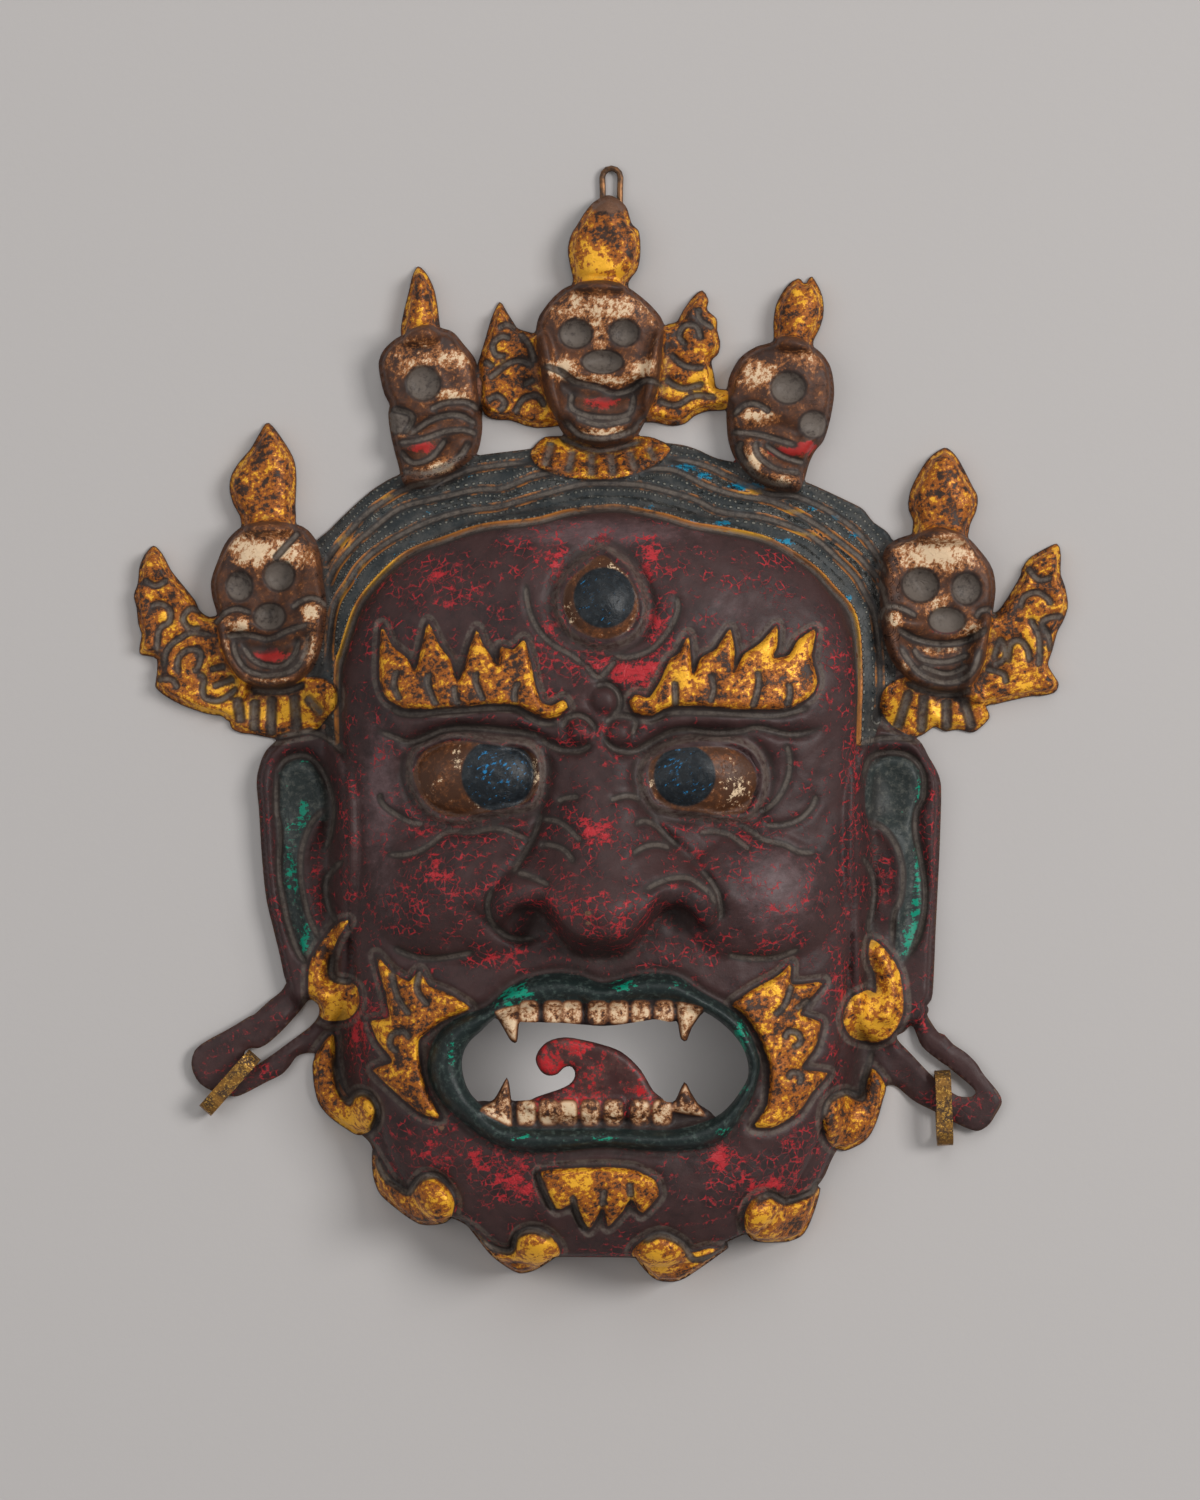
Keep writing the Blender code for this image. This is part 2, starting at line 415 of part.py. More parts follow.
def front_skull(r, cx, cy, eyes, nose, mouth_y, jaw):
    """A skull seen from the front: eye bowls, nose hollow, cheekbones and jaw."""
    for ex, ey, rx, ry in eyes:
        r.ball(ex, ey, rx + 1.2, ry + 1.2, 1.2)
        r.ball(ex, ey, rx, ry, -4.6, power=0.5)
    r.ball(nose[0], nose[1], nose[2], nose[3], -4.0, power=0.6)
    left, right, drop = jaw
    r.stroke([(left, mouth_y + 5), (cx - 6, mouth_y + 0.5), (cx, mouth_y - 0.6),
              (cx + 6, mouth_y + 0.5), (right, mouth_y + 5)], 2.4, 2.6)
    r.stroke([(left + 1, mouth_y - 1), (cx - 7, drop + 2.4), (cx, drop),
              (cx + 7, drop + 2.4), (right - 1, mouth_y - 1)], -1.6, 2.2)
    r.mound(cx - 9, mouth_y + 7.6, 7, 2.8, 2.4)
    r.mound(cx + 9, mouth_y + 7.6, 7, 2.8, 2.4)
    r.mound(cx, mouth_y + 7, 3, 3, 1.2)
    r.mound(cx, cy + 11, 12, 8, 2.0)


def sculpt(x, y):
    """Height of the front of the sheet above its own rim, before the edge is turned down."""
    r = Relief(x, y)
    r.z += base(x, y)

    for line in ([(-87, 53.5), (-80.2, 61.1), (-71, 69.8), (-60, 75.6), (-42, 80.8),
                  (-21.9, 83.4), (0, 85), (21.3, 84.6), (36.5, 80.4), (53, 73.6),
                  (67, 70), (78, 64.5), (85.3, 57.9), (89, 50)],
                 [(-85, 48), (-78.5, 57.1), (-69.2, 65.2), (-58.8, 70.2), (-39.8, 74.4),
                  (-20.8, 79), (0, 80.6), (18.3, 81.3), (34.1, 75.6), (49.9, 71.3),
                  (60.9, 68.2), (73.1, 60.9), (84, 51.2), (89.5, 43.2)],
                 [(-86, 20), (-84.2, 38.6), (-77.3, 49.6), (-65.8, 58.8), (-49.6, 65.8),
                  (-26.5, 69.8), (-6.9, 75.9), (10.4, 76.1), (24.4, 73.1), (37.8, 67.3),
                  (58.5, 63.3), (69.4, 57.9), (80.4, 47.5), (86, 38), (88.5, 20)]):
        r.stroke(line, 2.2, 1.9, ends=0.03)
    r.stroke([(-82.6, 8), (-81.2, 23.6), (-77.3, 35.8), (-68.7, 47.3), (-58.3, 54.8),
              (-42.7, 60), (-20.8, 63.4), (0, 67.4), (20.1, 64.9), (36.5, 61.4),
              (54.8, 56.8), (66.4, 49.3), (76.7, 38.4), (81, 25), (81.4, 8)],
             -1.6, 1.5, ends=0.03)

    r.mound(0, 39, 34, 26, 5.0)
    r.mound(-45, 6, 34, 14, 4.0)
    r.mound(44, 6, 34, 14, 4.0)
    r.ball(-46, -54, 28, 22, 8.5)
    r.ball(50, -55, 27, 21, 8.5)
    r.mound(0, -150, 40, 16, 6.0)
    r.mound(0, -106, 52, 30, 5.0)

    nose, side = drawn(NOSE_PROJECTION), np.abs(x)
    foot = (-58.5 - 16 * np.exp(-(side / 15.5) ** 4)
            - 7 * np.exp(-((side - 33) / 4.5) ** 2))
    ridge = ease((10 - y) / 70) * ease((y - foot) / 9)
    width = 11 + 10 * ease((2 - y) / 60)
    r.z += 0.86 * nose * ridge * np.exp(-(side / width) ** 3)
    r.z += 0.26 * nose * np.exp(-(side / 12) ** 2 - ((y + 59) / 10) ** 2) * ease((y - foot) / 6)
    nostril_wings = np.exp(-((side - 25) / 11) ** 2 - ((y + 55) / 10) ** 2)
    r.z += 9.0 * nostril_wings * ease((y - foot) / 3)
    r.ball(-22.4, -65, 6.4, 3.4, -2.2, tilt=-8)
    r.ball(25.2, -62.4, 6.4, 3.4, -2.2, tilt=12)
    r.stroke([(-19, -28), (-21.5, -36), (-24.6, -42), (-30, -47), (-35.5, -55),
              (-35.2, -61), (-28, -67.4), (-19.5, -67.2)], 1.8, 1.8)
    r.stroke([(13.5, -26), (21, -35.5), (25.5, -40), (31.4, -46), (36.7, -53),
              (37.8, -61)], 1.8, 1.8)
    for knob in ((1, 7.4, 5.4), (-6.4, -2.8, 5.2), (5.8, -3.4, 5.2)):
        r.ball(knob[0], knob[1], knob[2] + 1.4, knob[2] + 1.4, -1.5)
        r.ball(*knob[:2], knob[2] - 0.6, knob[2] - 0.6, 3.4)

    r.ball(0, 40, 25, 24, -2.2, power=0.8)
    for eye, cx, cy, rx, ry in ((THIRD_EYE, 0.2, 39.4, 12.6, 14.4),
                                (LEFT_EYE, -39.6, -17, 19, 12),
                                (RIGHT_EYE, 31.8, -17, 18, 11.4)):
        r.plate(eye, 1.6, 2.2, trench=2.0, width=2.0)
        lid = inward(eye, x, y)
        r.z -= 2.6 * ease((lid - 1.6) / 1.4)
        r.ball(cx, cy, rx, ry, 7.0, power=0.7)
    r.stroke([(-64, -7), (-54, -3.4), (-46, -1.2), (-30, -2), (-20, -3.6), (-11, -8.4),
              (-4, -7)], 1.8, 2.0)
    r.stroke([(3.2, -7.4), (11, -8.6), (20, -4), (30, -2.2), (46, -1.6), (58, -3.4),
              (69, -2)], 1.8, 2.0)

    r.plate(LEFT_BROW, 3.2, 1.8)
    r.plate(RIGHT_BROW, 3.2, 1.8)
    outer, inner = inward(LIPS, x, y), -inward(OPENING, x, y, 24.0)
    across = np.clip(2 * outer / np.maximum(outer + inner, 1e-6), 0, 2) - 1
    r.z += 5.2 * (1 - across ** 2) * (outer > 0) * (inner > 0)
    r.z -= 1.2 * np.exp(-((outer + 0.8) / 1.6) ** 2)
    r.z -= 2.2 * ease((-inner - 0.2) / 1.6)
    for x0 in (-22.6, -15, -9, -1, 5.6, 12.5, 19.8):
        r.ball(x0, -90.8, 3.5, 3.9, 2.4, power=0.5)
    for x0 in (-23.4, -16.4, -10.4, -3.3, 3.9, 12.3, 19.2):
        r.ball(x0, -122.2, 3.4, 4.3, 2.4, power=0.5)
    for fang in FANGS:
        r.plate(fang, 2.8, 2.4)
    r.plate(TONGUE, 1.8, 2.4)

    for flame in (LEFT_MOUSTACHE, RIGHT_MOUSTACHE, CHIN_TUFT):
        r.plate(flame, 2.8, 1.8)
    for name, line in CURLS.items():
        r.plate(line, 3.6, 2.2)
    for cx, cy in ((-77.4, -123.6), (-54, -151.4), (-20.8, -166.6), (78, -126.6),
                   (52.2, -156.8), (19, -169)):
        r.ball(cx, cy, 7.4, 7.0, 3.4)
    for line in ([(-80, -64), (-87, -70), (-90.6, -80), (-88, -90)],
                 [(86.6, -70), (91, -78), (92.8, -88), (90, -96)]):
        r.stroke(line, -3.2, 3.0)
    r.ball(-84, -87, 8.6, 7.6, 4.2)
    r.ball(84.6, -92.6, 9, 8.4, 4.2)

    ear = drawn(EAR_RELIEF)
    for line in (EAR_LEFT, EAR_RIGHT):
        r.plate(line, ear, 4.0)
    for side, points in ((-1, [(-88, -37), (-85.6, -28), (-87, -19), (-92.4, -11),
                               (-98, -10), (-103, -15), (-103.6, -27), (-102.6, -48),
                               (-99.6, -64), (-94, -76)]),
                         (1, [(84.6, -31), (83.2, -22), (84.6, -13), (90, -9.4),
                              (98.7, -10.4), (102.8, -17), (101, -30), (102.6, -45),
                              (103, -58), (97.4, -75)])):
        r.stroke(points, 2.4, 2.0)
    r.stroke([(-89, -28), (-94.4, -36.7), (-95.6, -48), (-92.8, -62), (-89.6, -69)],
             -2.2, 2.2)
    r.stroke([(86, -31.6), (92.3, -36), (96, -46), (95.4, -56), (93, -66)], -2.2, 2.2)
    r.ball(-96.5, -27, 7, 13, -3.2, tilt=4)
    r.ball(93, -22, 8, 11, -3.2)
    r.ball(-98, -56, 3.6, 16, -2.4, tilt=8)
    r.ball(98.4, -56, 3.6, 18, -2.4, tilt=-2)

    skull, wing = drawn(SKULL_RELIEF), drawn(WING_RELIEF)
    for line in WINGS:
        r.plate(line, wing, 2.6)
    for line in FINIALS:
        r.plate(line, skull * 0.45, 2.2, puff=skull * 0.55, reach=8)
    for line in SKULLS:
        r.plate(line, skull, 3.2, puff=2.6, reach=12)
    for line in COLLARS:
        r.plate(line, 2.4, 1.8)
    front_skull(r, 0.5, 124, ((-8, 124, 5.3, 4.7), (7.4, 124.3, 4.8, 4.4)),
                (0.5, 115, 6.7, 3.9), 104, (-14, 14, 94))
    front_skull(r, -105.5, 44, ((-115, 43.7, 4.3, 4.9), (-102.3, 47, 5, 4.9)),
                (-105.3, 34, 5.2, 4.4), 24, (-118, -93, 14))
    front_skull(r, 109, 44, ((101.5, 44, 6, 5.5), (116.3, 42.9, 4.8, 5.2)),
                (110, 32.8, 6, 4.2), 24, (93, 121, 12.8))
    for ex, ey, rx, ry, mirror in ((-56.5, 108.2, 5.6, 5.6, 1), (59.6, 106.8, 5.7, 5.2, -1)):
        r.ball(ex, ey, rx + 1.4, ry + 1.4, 1.2)
        r.ball(ex, ey, rx, ry, -4.2, power=0.6)
        r.ball(ex - 8 * mirror, ey - 11.6, 4.6, 4.4, -2.6, power=0.7)
        r.stroke([(ex - 5 * mirror, ey - 15), (ex + 3 * mirror, ey - 12.4),
                  (ex + 15 * mirror, ey - 13)], 2.2, 2.4)
        r.stroke([(ex + 14 * mirror, ey - 16), (ex + 9 * mirror, ey - 24),
                  (ex, ey - 28.6), (ex - 7 * mirror, ey - 29)], -1.8, 2.4)
        r.stroke([(ex + 8 * mirror, ey - 16), (ex - 1 * mirror, ey - 22.4),
                  (ex - 8 * mirror, ey - 24)], 2.0, 2.6)
    return r.z


def turned_edge(x, y, xs, ys):
    """How far the relief has risen from the flat rim: 0 on the rim, 1 a little inside."""
    depth = outline(x, y)
    near = (depth > 0) & (depth < RIM + TURN)
    gap = np.full(np.count_nonzero(near), RIM + TURN)
    for loop in contour(depth.reshape(len(ys), len(xs)), xs, ys):
        edge = thin(loop, EDGE_FINENESS / 2)
        gap = np.minimum(gap, measure(edge, x[near], y[near], True)[0])
    depth[near] = gap
    return ease((depth - RIM) / TURN)


def lifted(x, y):
    """The rim's own height: up at the lobes for the rings, at the finial for the wire."""
    left = ease((-93 - x) / 9) * ease((-85 - y) / 9)
    right = ease((x - 95) / 9) * ease((-92 - y) / 9)
    finial = ease((y - 139) / 6) * ease((20 - np.abs(x - 1)) / 5)
    return LIFT_LOBE * (left + right) + LIFT_FINIAL * finial


def front(x, y, xs, ys):
    """Height of the sheet's front above the table it lies on, in drawing millimetres."""
    rise = np.maximum(sculpt(x, y), 0.6) * turned_edge(x, y, xs, ys)
    return lifted(x, y) + drawn(SHEET) + rise


# Where the rings hang: the end in the slot, and the way each ring lies
RINGS = {
    "earring_left": ((-110.4, -105.6), (-0.664, -0.748)),
    "earring_right": ((108.9, -110.6), (0.041, -0.999))}
RING_ROOM = drawn(STRIP_WIDTH / 2 + CLEARANCE) * 1.02
RING_SEATS = [(start[0] + way[0] * drawn(STRIP), start[1] + way[1] * drawn(STRIP))
              for start, way in RINGS.values()]


def area(loop):
    """Area inside a closed line, positive when it runs anticlockwise."""
    x, y = loop.T
    return 0.5 * np.sum(x * np.roll(y, -1) - np.roll(x, -1) * y)


def contour(level, xs, ys):
    """Closed lines where the sampled field is zero, by marching squares."""
    links = {}
    inside = level > 0

    def cross(i0, j0, i1, j1):
        a, b = level[i0, j0], level[i1, j1]
        t = a / (a - b)
        return (xs[j0] + t * (xs[j1] - xs[j0]), ys[i0] + t * (ys[i1] - ys[i0]))

    cells = inside[:-1, :-1] * 1 + inside[:-1, 1:] * 2 + inside[1:, 1:] * 4 + inside[1:, :-1] * 8
    steps = {1: "WS", 2: "SE", 3: "WE", 4: "EN", 5: "WSEN", 6: "SN", 7: "WN", 8: "NW", 9: "NS",
             10: "SENW", 11: "NE", 12: "EW", 13: "ES", 14: "SW"}
    corner = {"S": ((0, 0), (0, 1)), "E": ((0, 1), (1, 1)), "N": ((1, 0), (1, 1)),
              "W": ((0, 0), (1, 0))}
    place = {}
    for i, j in np.argwhere((cells > 0) & (cells < 15)):
        route = steps[int(cells[i, j])]
        for a, b in zip(route[::2], route[1::2]):
            keys = []
            for side in (a, b):
                (p, q), (s, t) = corner[side]
                key = (i + p, j + q, i + s, j + t)
                place[key] = cross(*key)
                keys.append(key)
            links[keys[0]] = keys[1]
    loops = []
    while links:
        first, key = next(iter(links.items()))
        loop = [first]
        del links[first]
        while key != first and key in links:
            loop.append(key)
            key = links.pop(key)
        loops.append(np.array([place[k] for k in loop]))
    return [loop for loop in loops if abs(area(loop)) > SMALLEST_HOLE]


def thin(loop, tolerance):
    """Drop the points of a closed line that its chords don't need."""
    far = int(np.argmax(((loop - loop[0]) ** 2).sum(1)))
    keep = {0, far}
    stack = [(0, far), (far, len(loop))]
    ring = np.vstack([loop, loop[:1]])
    while stack:
        a, b = stack.pop()
        if b - a < 2:
            continue
        run = ring[b] - ring[a]
        span = max(np.hypot(*run), 1e-9)
        side = ring[a + 1:b] - ring[a]
        gap = np.abs(side[:, 0] * run[1] - side[:, 1] * run[0]) / span
        worst = int(np.argmax(gap))
        if gap[worst] > tolerance or span > LONGEST_EDGE:
            middle = a + 1 + worst if gap[worst] > tolerance else (a + b) // 2
            keep.add(middle)
            stack += [(a, middle), (middle, b)]
    return loop[sorted(keep)]


def triangulate(points, loops, guides):
    """Triangles on the points, with loops and guides as edges, kept where the sheet is."""
    edges, count = [], 0
    for line in loops + guides:
        n = len(line)
        edges += [(count + i, count + (i + 1) % n) for i in range(n)]
        count += n
    made = delaunay_2d_cdt([Vector(p) for p in points], edges, [], 0, 1e-6, False)
    corners = np.array([tuple(v) for v in made[0]])
    faces = np.array([f for f in made[2] if len(f) == 3])
    middle = corners[faces].mean(axis=1)
    kept = np.zeros(len(faces), dtype=bool)
    for loop in loops:
        kept ^= measure(loop, middle[:, 0], middle[:, 1], True)[2]
    return corners, faces[kept]


def refine(xs, ys, height, slope, depth, loops, guides, budget):
    """Add the sample that each triangle misses most, until the budget of triangles is used."""
    chosen = [tuple(p) for line in loops + guides for p in line]
    taken = depth < 1.2
    rows, cols = np.indices(height.shape)
    start = (rows % 22 == 11) & (cols % 22 == 11) & ~taken
    for i, j in np.argwhere(start):
        chosen.append((xs[j], ys[i]))
        taken[i, j] = True

    for _ in range(40):
        corners, faces = triangulate(chosen, loops, guides)
        if len(faces) >= budget:
            break
        zs = surface(corners[:, 0], corners[:, 1], xs, ys, height)
        found = []
        for face in faces:
            p, z = corners[face], zs[face]
            j0, j1 = np.searchsorted(xs, p[:, 0].min()), np.searchsorted(xs, p[:, 0].max())
            i0, i1 = np.searchsorted(ys, p[:, 1].min()), np.searchsorted(ys, p[:, 1].max())
            if i1 <= i0 or j1 <= j0:
                continue
            gx, gy = np.meshgrid(xs[j0:j1], ys[i0:i1])
            (ax, ay), (bx, by), (cx, cy) = p
            whole = (by - cy) * (ax - cx) + (cx - bx) * (ay - cy)
            u = ((by - cy) * (gx - cx) + (cx - bx) * (gy - cy)) / whole
            v = ((cy - ay) * (gx - cx) + (ax - cx) * (gy - cy)) / whole
            w = 1 - u - v
            within = (u > 0.04) & (v > 0.04) & (w > 0.04) & ~taken[i0:i1, j0:j1]
            miss = np.abs(u * z[0] + v * z[1] + w * z[2] - height[i0:i1, j0:j1]) * within
            miss /= 1 + slope[i0:i1, j0:j1] ** 2
            best = np.unravel_index(int(np.argmax(miss)), miss.shape)
            if miss[best] > 0.05:
                found.append((miss[best], i0 + best[0], j0 + best[1]))
        room = (budget - len(faces)) // 2
        if not found or room < 4:
            break
        found.sort(reverse=True)
        for _, i, j in found[:max(4, min(room, len(found) // 2 + 1))]:
            chosen.append((xs[j], ys[i]))
            taken[i, j] = True
    return triangulate(chosen, loops, guides)


def surface(px, py, xs, ys, field):
    """The sampled field between its samples, by linear interpolation."""
    u = np.clip((px - xs[0]) / GRID, 0, len(xs) - 1.001)
    v = np.clip((py - ys[0]) / GRID, 0, len(ys) - 1.001)
    j, i = u.astype(int), v.astype(int)
    s, t = u - j, v - i
    low = field[i, j] * (1 - s) + field[i, j + 1] * s
    high = field[i + 1, j] * (1 - s) + field[i + 1, j + 1] * s
    return low * (1 - t) + high * t


def fold_lines(xs, ys, gx, gy, depth):
    """Closed lines that the facets follow: the turned edge and the borders of raised forms."""
    x, y = gx.ravel(), gy.ravel()

    def lines(field, level):
        loops = contour(field.reshape(gx.shape) - level, xs, ys)
        return [thin(loop, FOLD_FINENESS) for loop in loops]

    found = lines(depth, RIM + 0.85 * TURN)
    for form in (THIRD_EYE, LEFT_EYE, RIGHT_EYE, LIPS):
        found += lines(inward(form, x, y), 0.6)
    for form in (LEFT_BROW, RIGHT_BROW, LEFT_MOUSTACHE, RIGHT_MOUSTACHE, CHIN_TUFT):
        found += lines(inward(form, x, y), -0.9) + lines(inward(form, x, y), 1.0)
    return found


def mask_sheet():
    """The embossed sheet as one closed body: front, back, and the cut edge between them."""
    xs = np.arange(-152.0, 152.5, GRID)
    ys = np.arange(-181.0, 172.0, GRID)
    gx, gy = np.meshgrid(xs, ys)
    flat_x, flat_y = gx.ravel(), gy.ravel()
    depth = np.minimum(outline(flat_x, flat_y), -mouth(flat_x, flat_y)).reshape(gx.shape)
    height = front(flat_x, flat_y, xs, ys).reshape(gx.shape)
    slope_y, slope_x = np.gradient(height, GRID)
    slope = np.hypot(slope_x, slope_y)
    loops = [thin(loop, EDGE_FINENESS) for loop in contour(depth, xs, ys)]
    guides = fold_lines(xs, ys, gx, gy, depth)
    corners, faces = refine(xs, ys, height, slope, depth, loops, guides, FACETS)

    x, y = corners[:, 0], corners[:, 1]
    top = surface(x, y, xs, ys, height)
    lean = np.minimum(surface(x, y, xs, ys, slope), STEEPEST)
    thick = drawn(SHEET) * np.sqrt(1 + lean ** 2)
    bottom = np.maximum(top - thick, np.minimum(lifted(x, y), top - drawn(SHEET)))
    bottom = np.maximum(bottom, 0.0)
    verts = np.vstack([np.column_stack([x, y, top]), np.column_stack([x, y, bottom])])

    a, b, c = corners[faces].transpose(1, 0, 2)
    turn = (b[:, 0] - a[:, 0]) * (c[:, 1] - a[:, 1]) - (b[:, 1] - a[:, 1]) * (c[:, 0] - a[:, 0])
    faces = np.where((turn > 0)[:, None], faces, faces[:, ::-1])
    count = len(corners)
    sides = {}
    for face in faces:
        for i in range(3):
            sides[(face[i], face[(i + 1) % 3])] = True
    rim = [(p, q) for p, q in sides if (q, p) not in sides]
    polygons = [tuple(f) for f in faces] + [tuple(f[::-1] + count) for f in faces]
    for p, q in rim:
        polygons += [(p, p + count, q + count), (p, q + count, q)]
    used = sorted({i for f in polygons for i in f})
    renumber = {old: new for new, old in enumerate(used)}
    verts = verts[used] * UNIT
    return verts, [tuple(renumber[i] for i in f) for f in polygons]


def ring(start, way):
    """A flat strip bent to a long closed ring: a slot shape upright on the way it lies."""
    half = RING_HEIGHT / 2
    straight = RING_LENGTH - RING_HEIGHT
    turns = np.radians(np.arange(-90, 91, 30))
    verts, polygons = [], []
    side = Vector((-way[1], way[0], 0.0)).normalized()
    forward = Vector((way[0], way[1], 0.0)).normalized()
    origin = Vector((start[0] * UNIT, start[1] * UNIT, CLEARANCE))
    for radius in (half, half - STRIP):
        for centre, flip in ((half, -1), (half + straight, 1)):
            for turn in turns:
                along = centre + flip * radius * np.cos(turn)
                up = half + flip * radius * np.sin(turn)
                for across in (-STRIP_WIDTH / 2, STRIP_WIDTH / 2):
                    place = origin + forward * along + side * across
                    verts.append((place.x, place.y, place.z + up))
    n = len(turns) * 2
    for i in range(n):
        j = (i + 1) % n
        o, p, inner, q = 2 * i, 2 * j, 2 * (n + i), 2 * (n + j)
        for quad in ((o, o + 1, p + 1, p), (inner + 1, inner, q, q + 1),
                     (o, p, q, inner), (o + 1, inner + 1, q + 1, p + 1)):
            polygons += [(quad[0], quad[1], quad[2]), (quad[0], quad[2], quad[3])]
    return verts, polygons


LOOP_TOP = 178.5
LOOP_LEGS = (0.6, 6.1)
LEG_FOOT = 157.0


def wire_loop():
    """A bent wire: two legs behind the top finial and a round eye above it."""
    radius = drawn(WIRE) / 2
    level = drawn(CLEARANCE) + radius
    middle = sum(LOOP_LEGS) / 2
    wide = (LOOP_LEGS[1] - LOOP_LEGS[0]) / 2 + 0.15
    crown = LOOP_TOP - radius - wide
    left = [(LOOP_LEGS[0], LEG_FOOT), (LOOP_LEGS[0], 165.0), (LOOP_LEGS[0], 170.5)]
    arc = [(middle - wide * np.cos(t), crown + wide * np.sin(t))
           for t in np.radians(np.arange(0, 181, 30))]
    right = [(LOOP_LEGS[1], 170.5), (LOOP_LEGS[1], 165.0), (LOOP_LEGS[1], LEG_FOOT)]
    path = [Vector((px, py, level)) for px, py in left + arc + right]
    sides = 8
    verts, polygons = [], []
    for i, place in enumerate(path):
        run = (path[min(i + 1, len(path) - 1)] - path[max(i - 1, 0)]).normalized()
        across = Vector((0, 0, 1)).cross(run).normalized()
        for k in range(sides):
            turn = 2 * np.pi * k / sides
            at = place + across * radius * np.cos(turn) + Vector((0, 0, radius * np.sin(turn)))
            verts.append(tuple(at * UNIT))
    for i in range(len(path) - 1):
        for k in range(sides):
            a, b = i * sides + k, i * sides + (k + 1) % sides
            c, d = a + sides, b + sides
            polygons += [(a, b, d), (a, d, c)]
    last = (len(path) - 1) * sides
    for k in range(1, sides - 1):
        polygons += [(0, k + 1, k), (last, last + k, last + k + 1)]
    return verts, polygons


def finish(name, shape, colour, roughness, metallic):
    """Make one object with its own material, its faces turned outwards."""
    verts, polygons = shape
    mesh = bpy.data.meshes.new(name)
    mesh.from_pydata([tuple(map(float, v)) for v in verts], [],
                     [tuple(map(int, f)) for f in polygons])
    volume = 0.0
    for f in polygons:
        a, b, c = (Vector([float(s) for s in verts[i]]) for i in f)
        volume += a.dot(b.cross(c))
    if volume < 0:
        mesh.flip_normals()
    mesh.update()
    piece = bpy.data.objects.new(name, mesh)
    bpy.context.scene.collection.objects.link(piece)
    material = bpy.data.materials.new(name + "_surface")
    material.use_nodes = True
    shader = material.node_tree.nodes["Principled BSDF"]
    shader.inputs["Base Color"].default_value = (*colour, 1.0)
    shader.inputs["Roughness"].default_value = roughness
    shader.inputs["Metallic"].default_value = metallic
    mesh.materials.append(material)
    return piece


def main():
    for old in list(bpy.data.objects):
        bpy.data.objects.remove(old, do_unlink=True)
    finish("mask_sheet", mask_sheet(), (0.10, 0.055, 0.045), 0.55, 0.35)
    for name, (start, way) in RINGS.items():
        finish(name, ring(start, way), (0.36, 0.20, 0.06), 0.45, 0.8)
    finish("hanging_loop", wire_loop(), (0.42, 0.20, 0.10), 0.4, 1.0)


main()
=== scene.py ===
"""Looks of the embossed copper mask: fine chasing, worn paint and gilding, lights and camera.

Points of the relief are in drawing millimetres, (0, 0) between the eyes, x to the right of
someone looking at the face and y up it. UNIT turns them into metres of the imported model.
"""

import bpy
import numpy as np
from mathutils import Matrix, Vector
from mathutils.geometry import delaunay_2d_cdt


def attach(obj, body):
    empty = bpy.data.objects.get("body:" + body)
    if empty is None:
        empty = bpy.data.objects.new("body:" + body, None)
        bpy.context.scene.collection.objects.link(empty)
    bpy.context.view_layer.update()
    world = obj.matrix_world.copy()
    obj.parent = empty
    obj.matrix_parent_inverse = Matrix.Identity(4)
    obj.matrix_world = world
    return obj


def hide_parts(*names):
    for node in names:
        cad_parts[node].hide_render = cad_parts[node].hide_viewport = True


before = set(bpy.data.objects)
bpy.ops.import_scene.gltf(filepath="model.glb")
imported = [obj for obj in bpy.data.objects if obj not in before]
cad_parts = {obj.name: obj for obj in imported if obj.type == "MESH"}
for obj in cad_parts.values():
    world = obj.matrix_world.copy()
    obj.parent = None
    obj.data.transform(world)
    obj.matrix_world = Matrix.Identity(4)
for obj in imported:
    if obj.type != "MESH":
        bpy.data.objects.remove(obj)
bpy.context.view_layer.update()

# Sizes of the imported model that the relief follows, in metres, and of its drawing
MASK_HEIGHT = 0.3565
FACE_DEPTH = 0.040
NOSE_PROJECTION = 0.020
HAIR_DEPTH = 0.015
SKULL_RELIEF = 0.0085
WING_RELIEF = 0.0055
EAR_RELIEF = 0.0060
SHEET = 0.0009
WIRE = 0.0019
STRIP = 0.0012
STRIP_WIDTH = 0.0050
CLEARANCE = 0.0004
DRAWN_HEIGHT = 357.0
UNIT = MASK_HEIGHT / DRAWN_HEIGHT

# How finely the relief is sampled, in drawing millimetres
GRID = 0.9                  # between samples of a field
LEFT_END, RIGHT_END = -152.1, 152.5
LOW_END, HIGH_END = -181.0, 172.0
EDGE_FINENESS = 0.08        # how far the cut edge may leave its curve
LONGEST_EDGE = 2.2          # along the cut edge
SMALLEST_HOLE = 8.0         # square drawing millimetres
MESH = 1.06                 # between points of the front
BACK_MESH = 2.3             # between points of the back
LINE_STEP = 0.9             # between points along a chased line
LINE_SIDES = (0.0, 0.8, -0.8)
LINE_ROOM = 0.3
FINE = 0.3                  # cell size of the map that keeps points apart
FRONT_CLEAR, BACK_CLEAR = 0.5, 1.2
RIM = 0.45                  # flat edge round the sheet
TURN = 1.9                  # width over which the relief rises from it
STEEPEST = 3.0              # slope up to which the sheet keeps its thickness
BACK_ROOM = 1.15            # thickness of the shown sheet over SHEET, away from its edge


def drawn(metres):
    """A real size in drawing millimetres."""
    return metres / UNIT


LIFT_LOBE = drawn(STRIP + 3 * CLEARANCE)
LIFT_FINIAL = drawn(WIRE + 2 * CLEARANCE)


def ease(t):
    """Smooth step from 0 at t = 0 to 1 at t = 1: t squared times 3 - 2 t."""
    t = np.clip(t, 0.0, 1.0)
    return t * t * (3.0 - 2.0 * t)


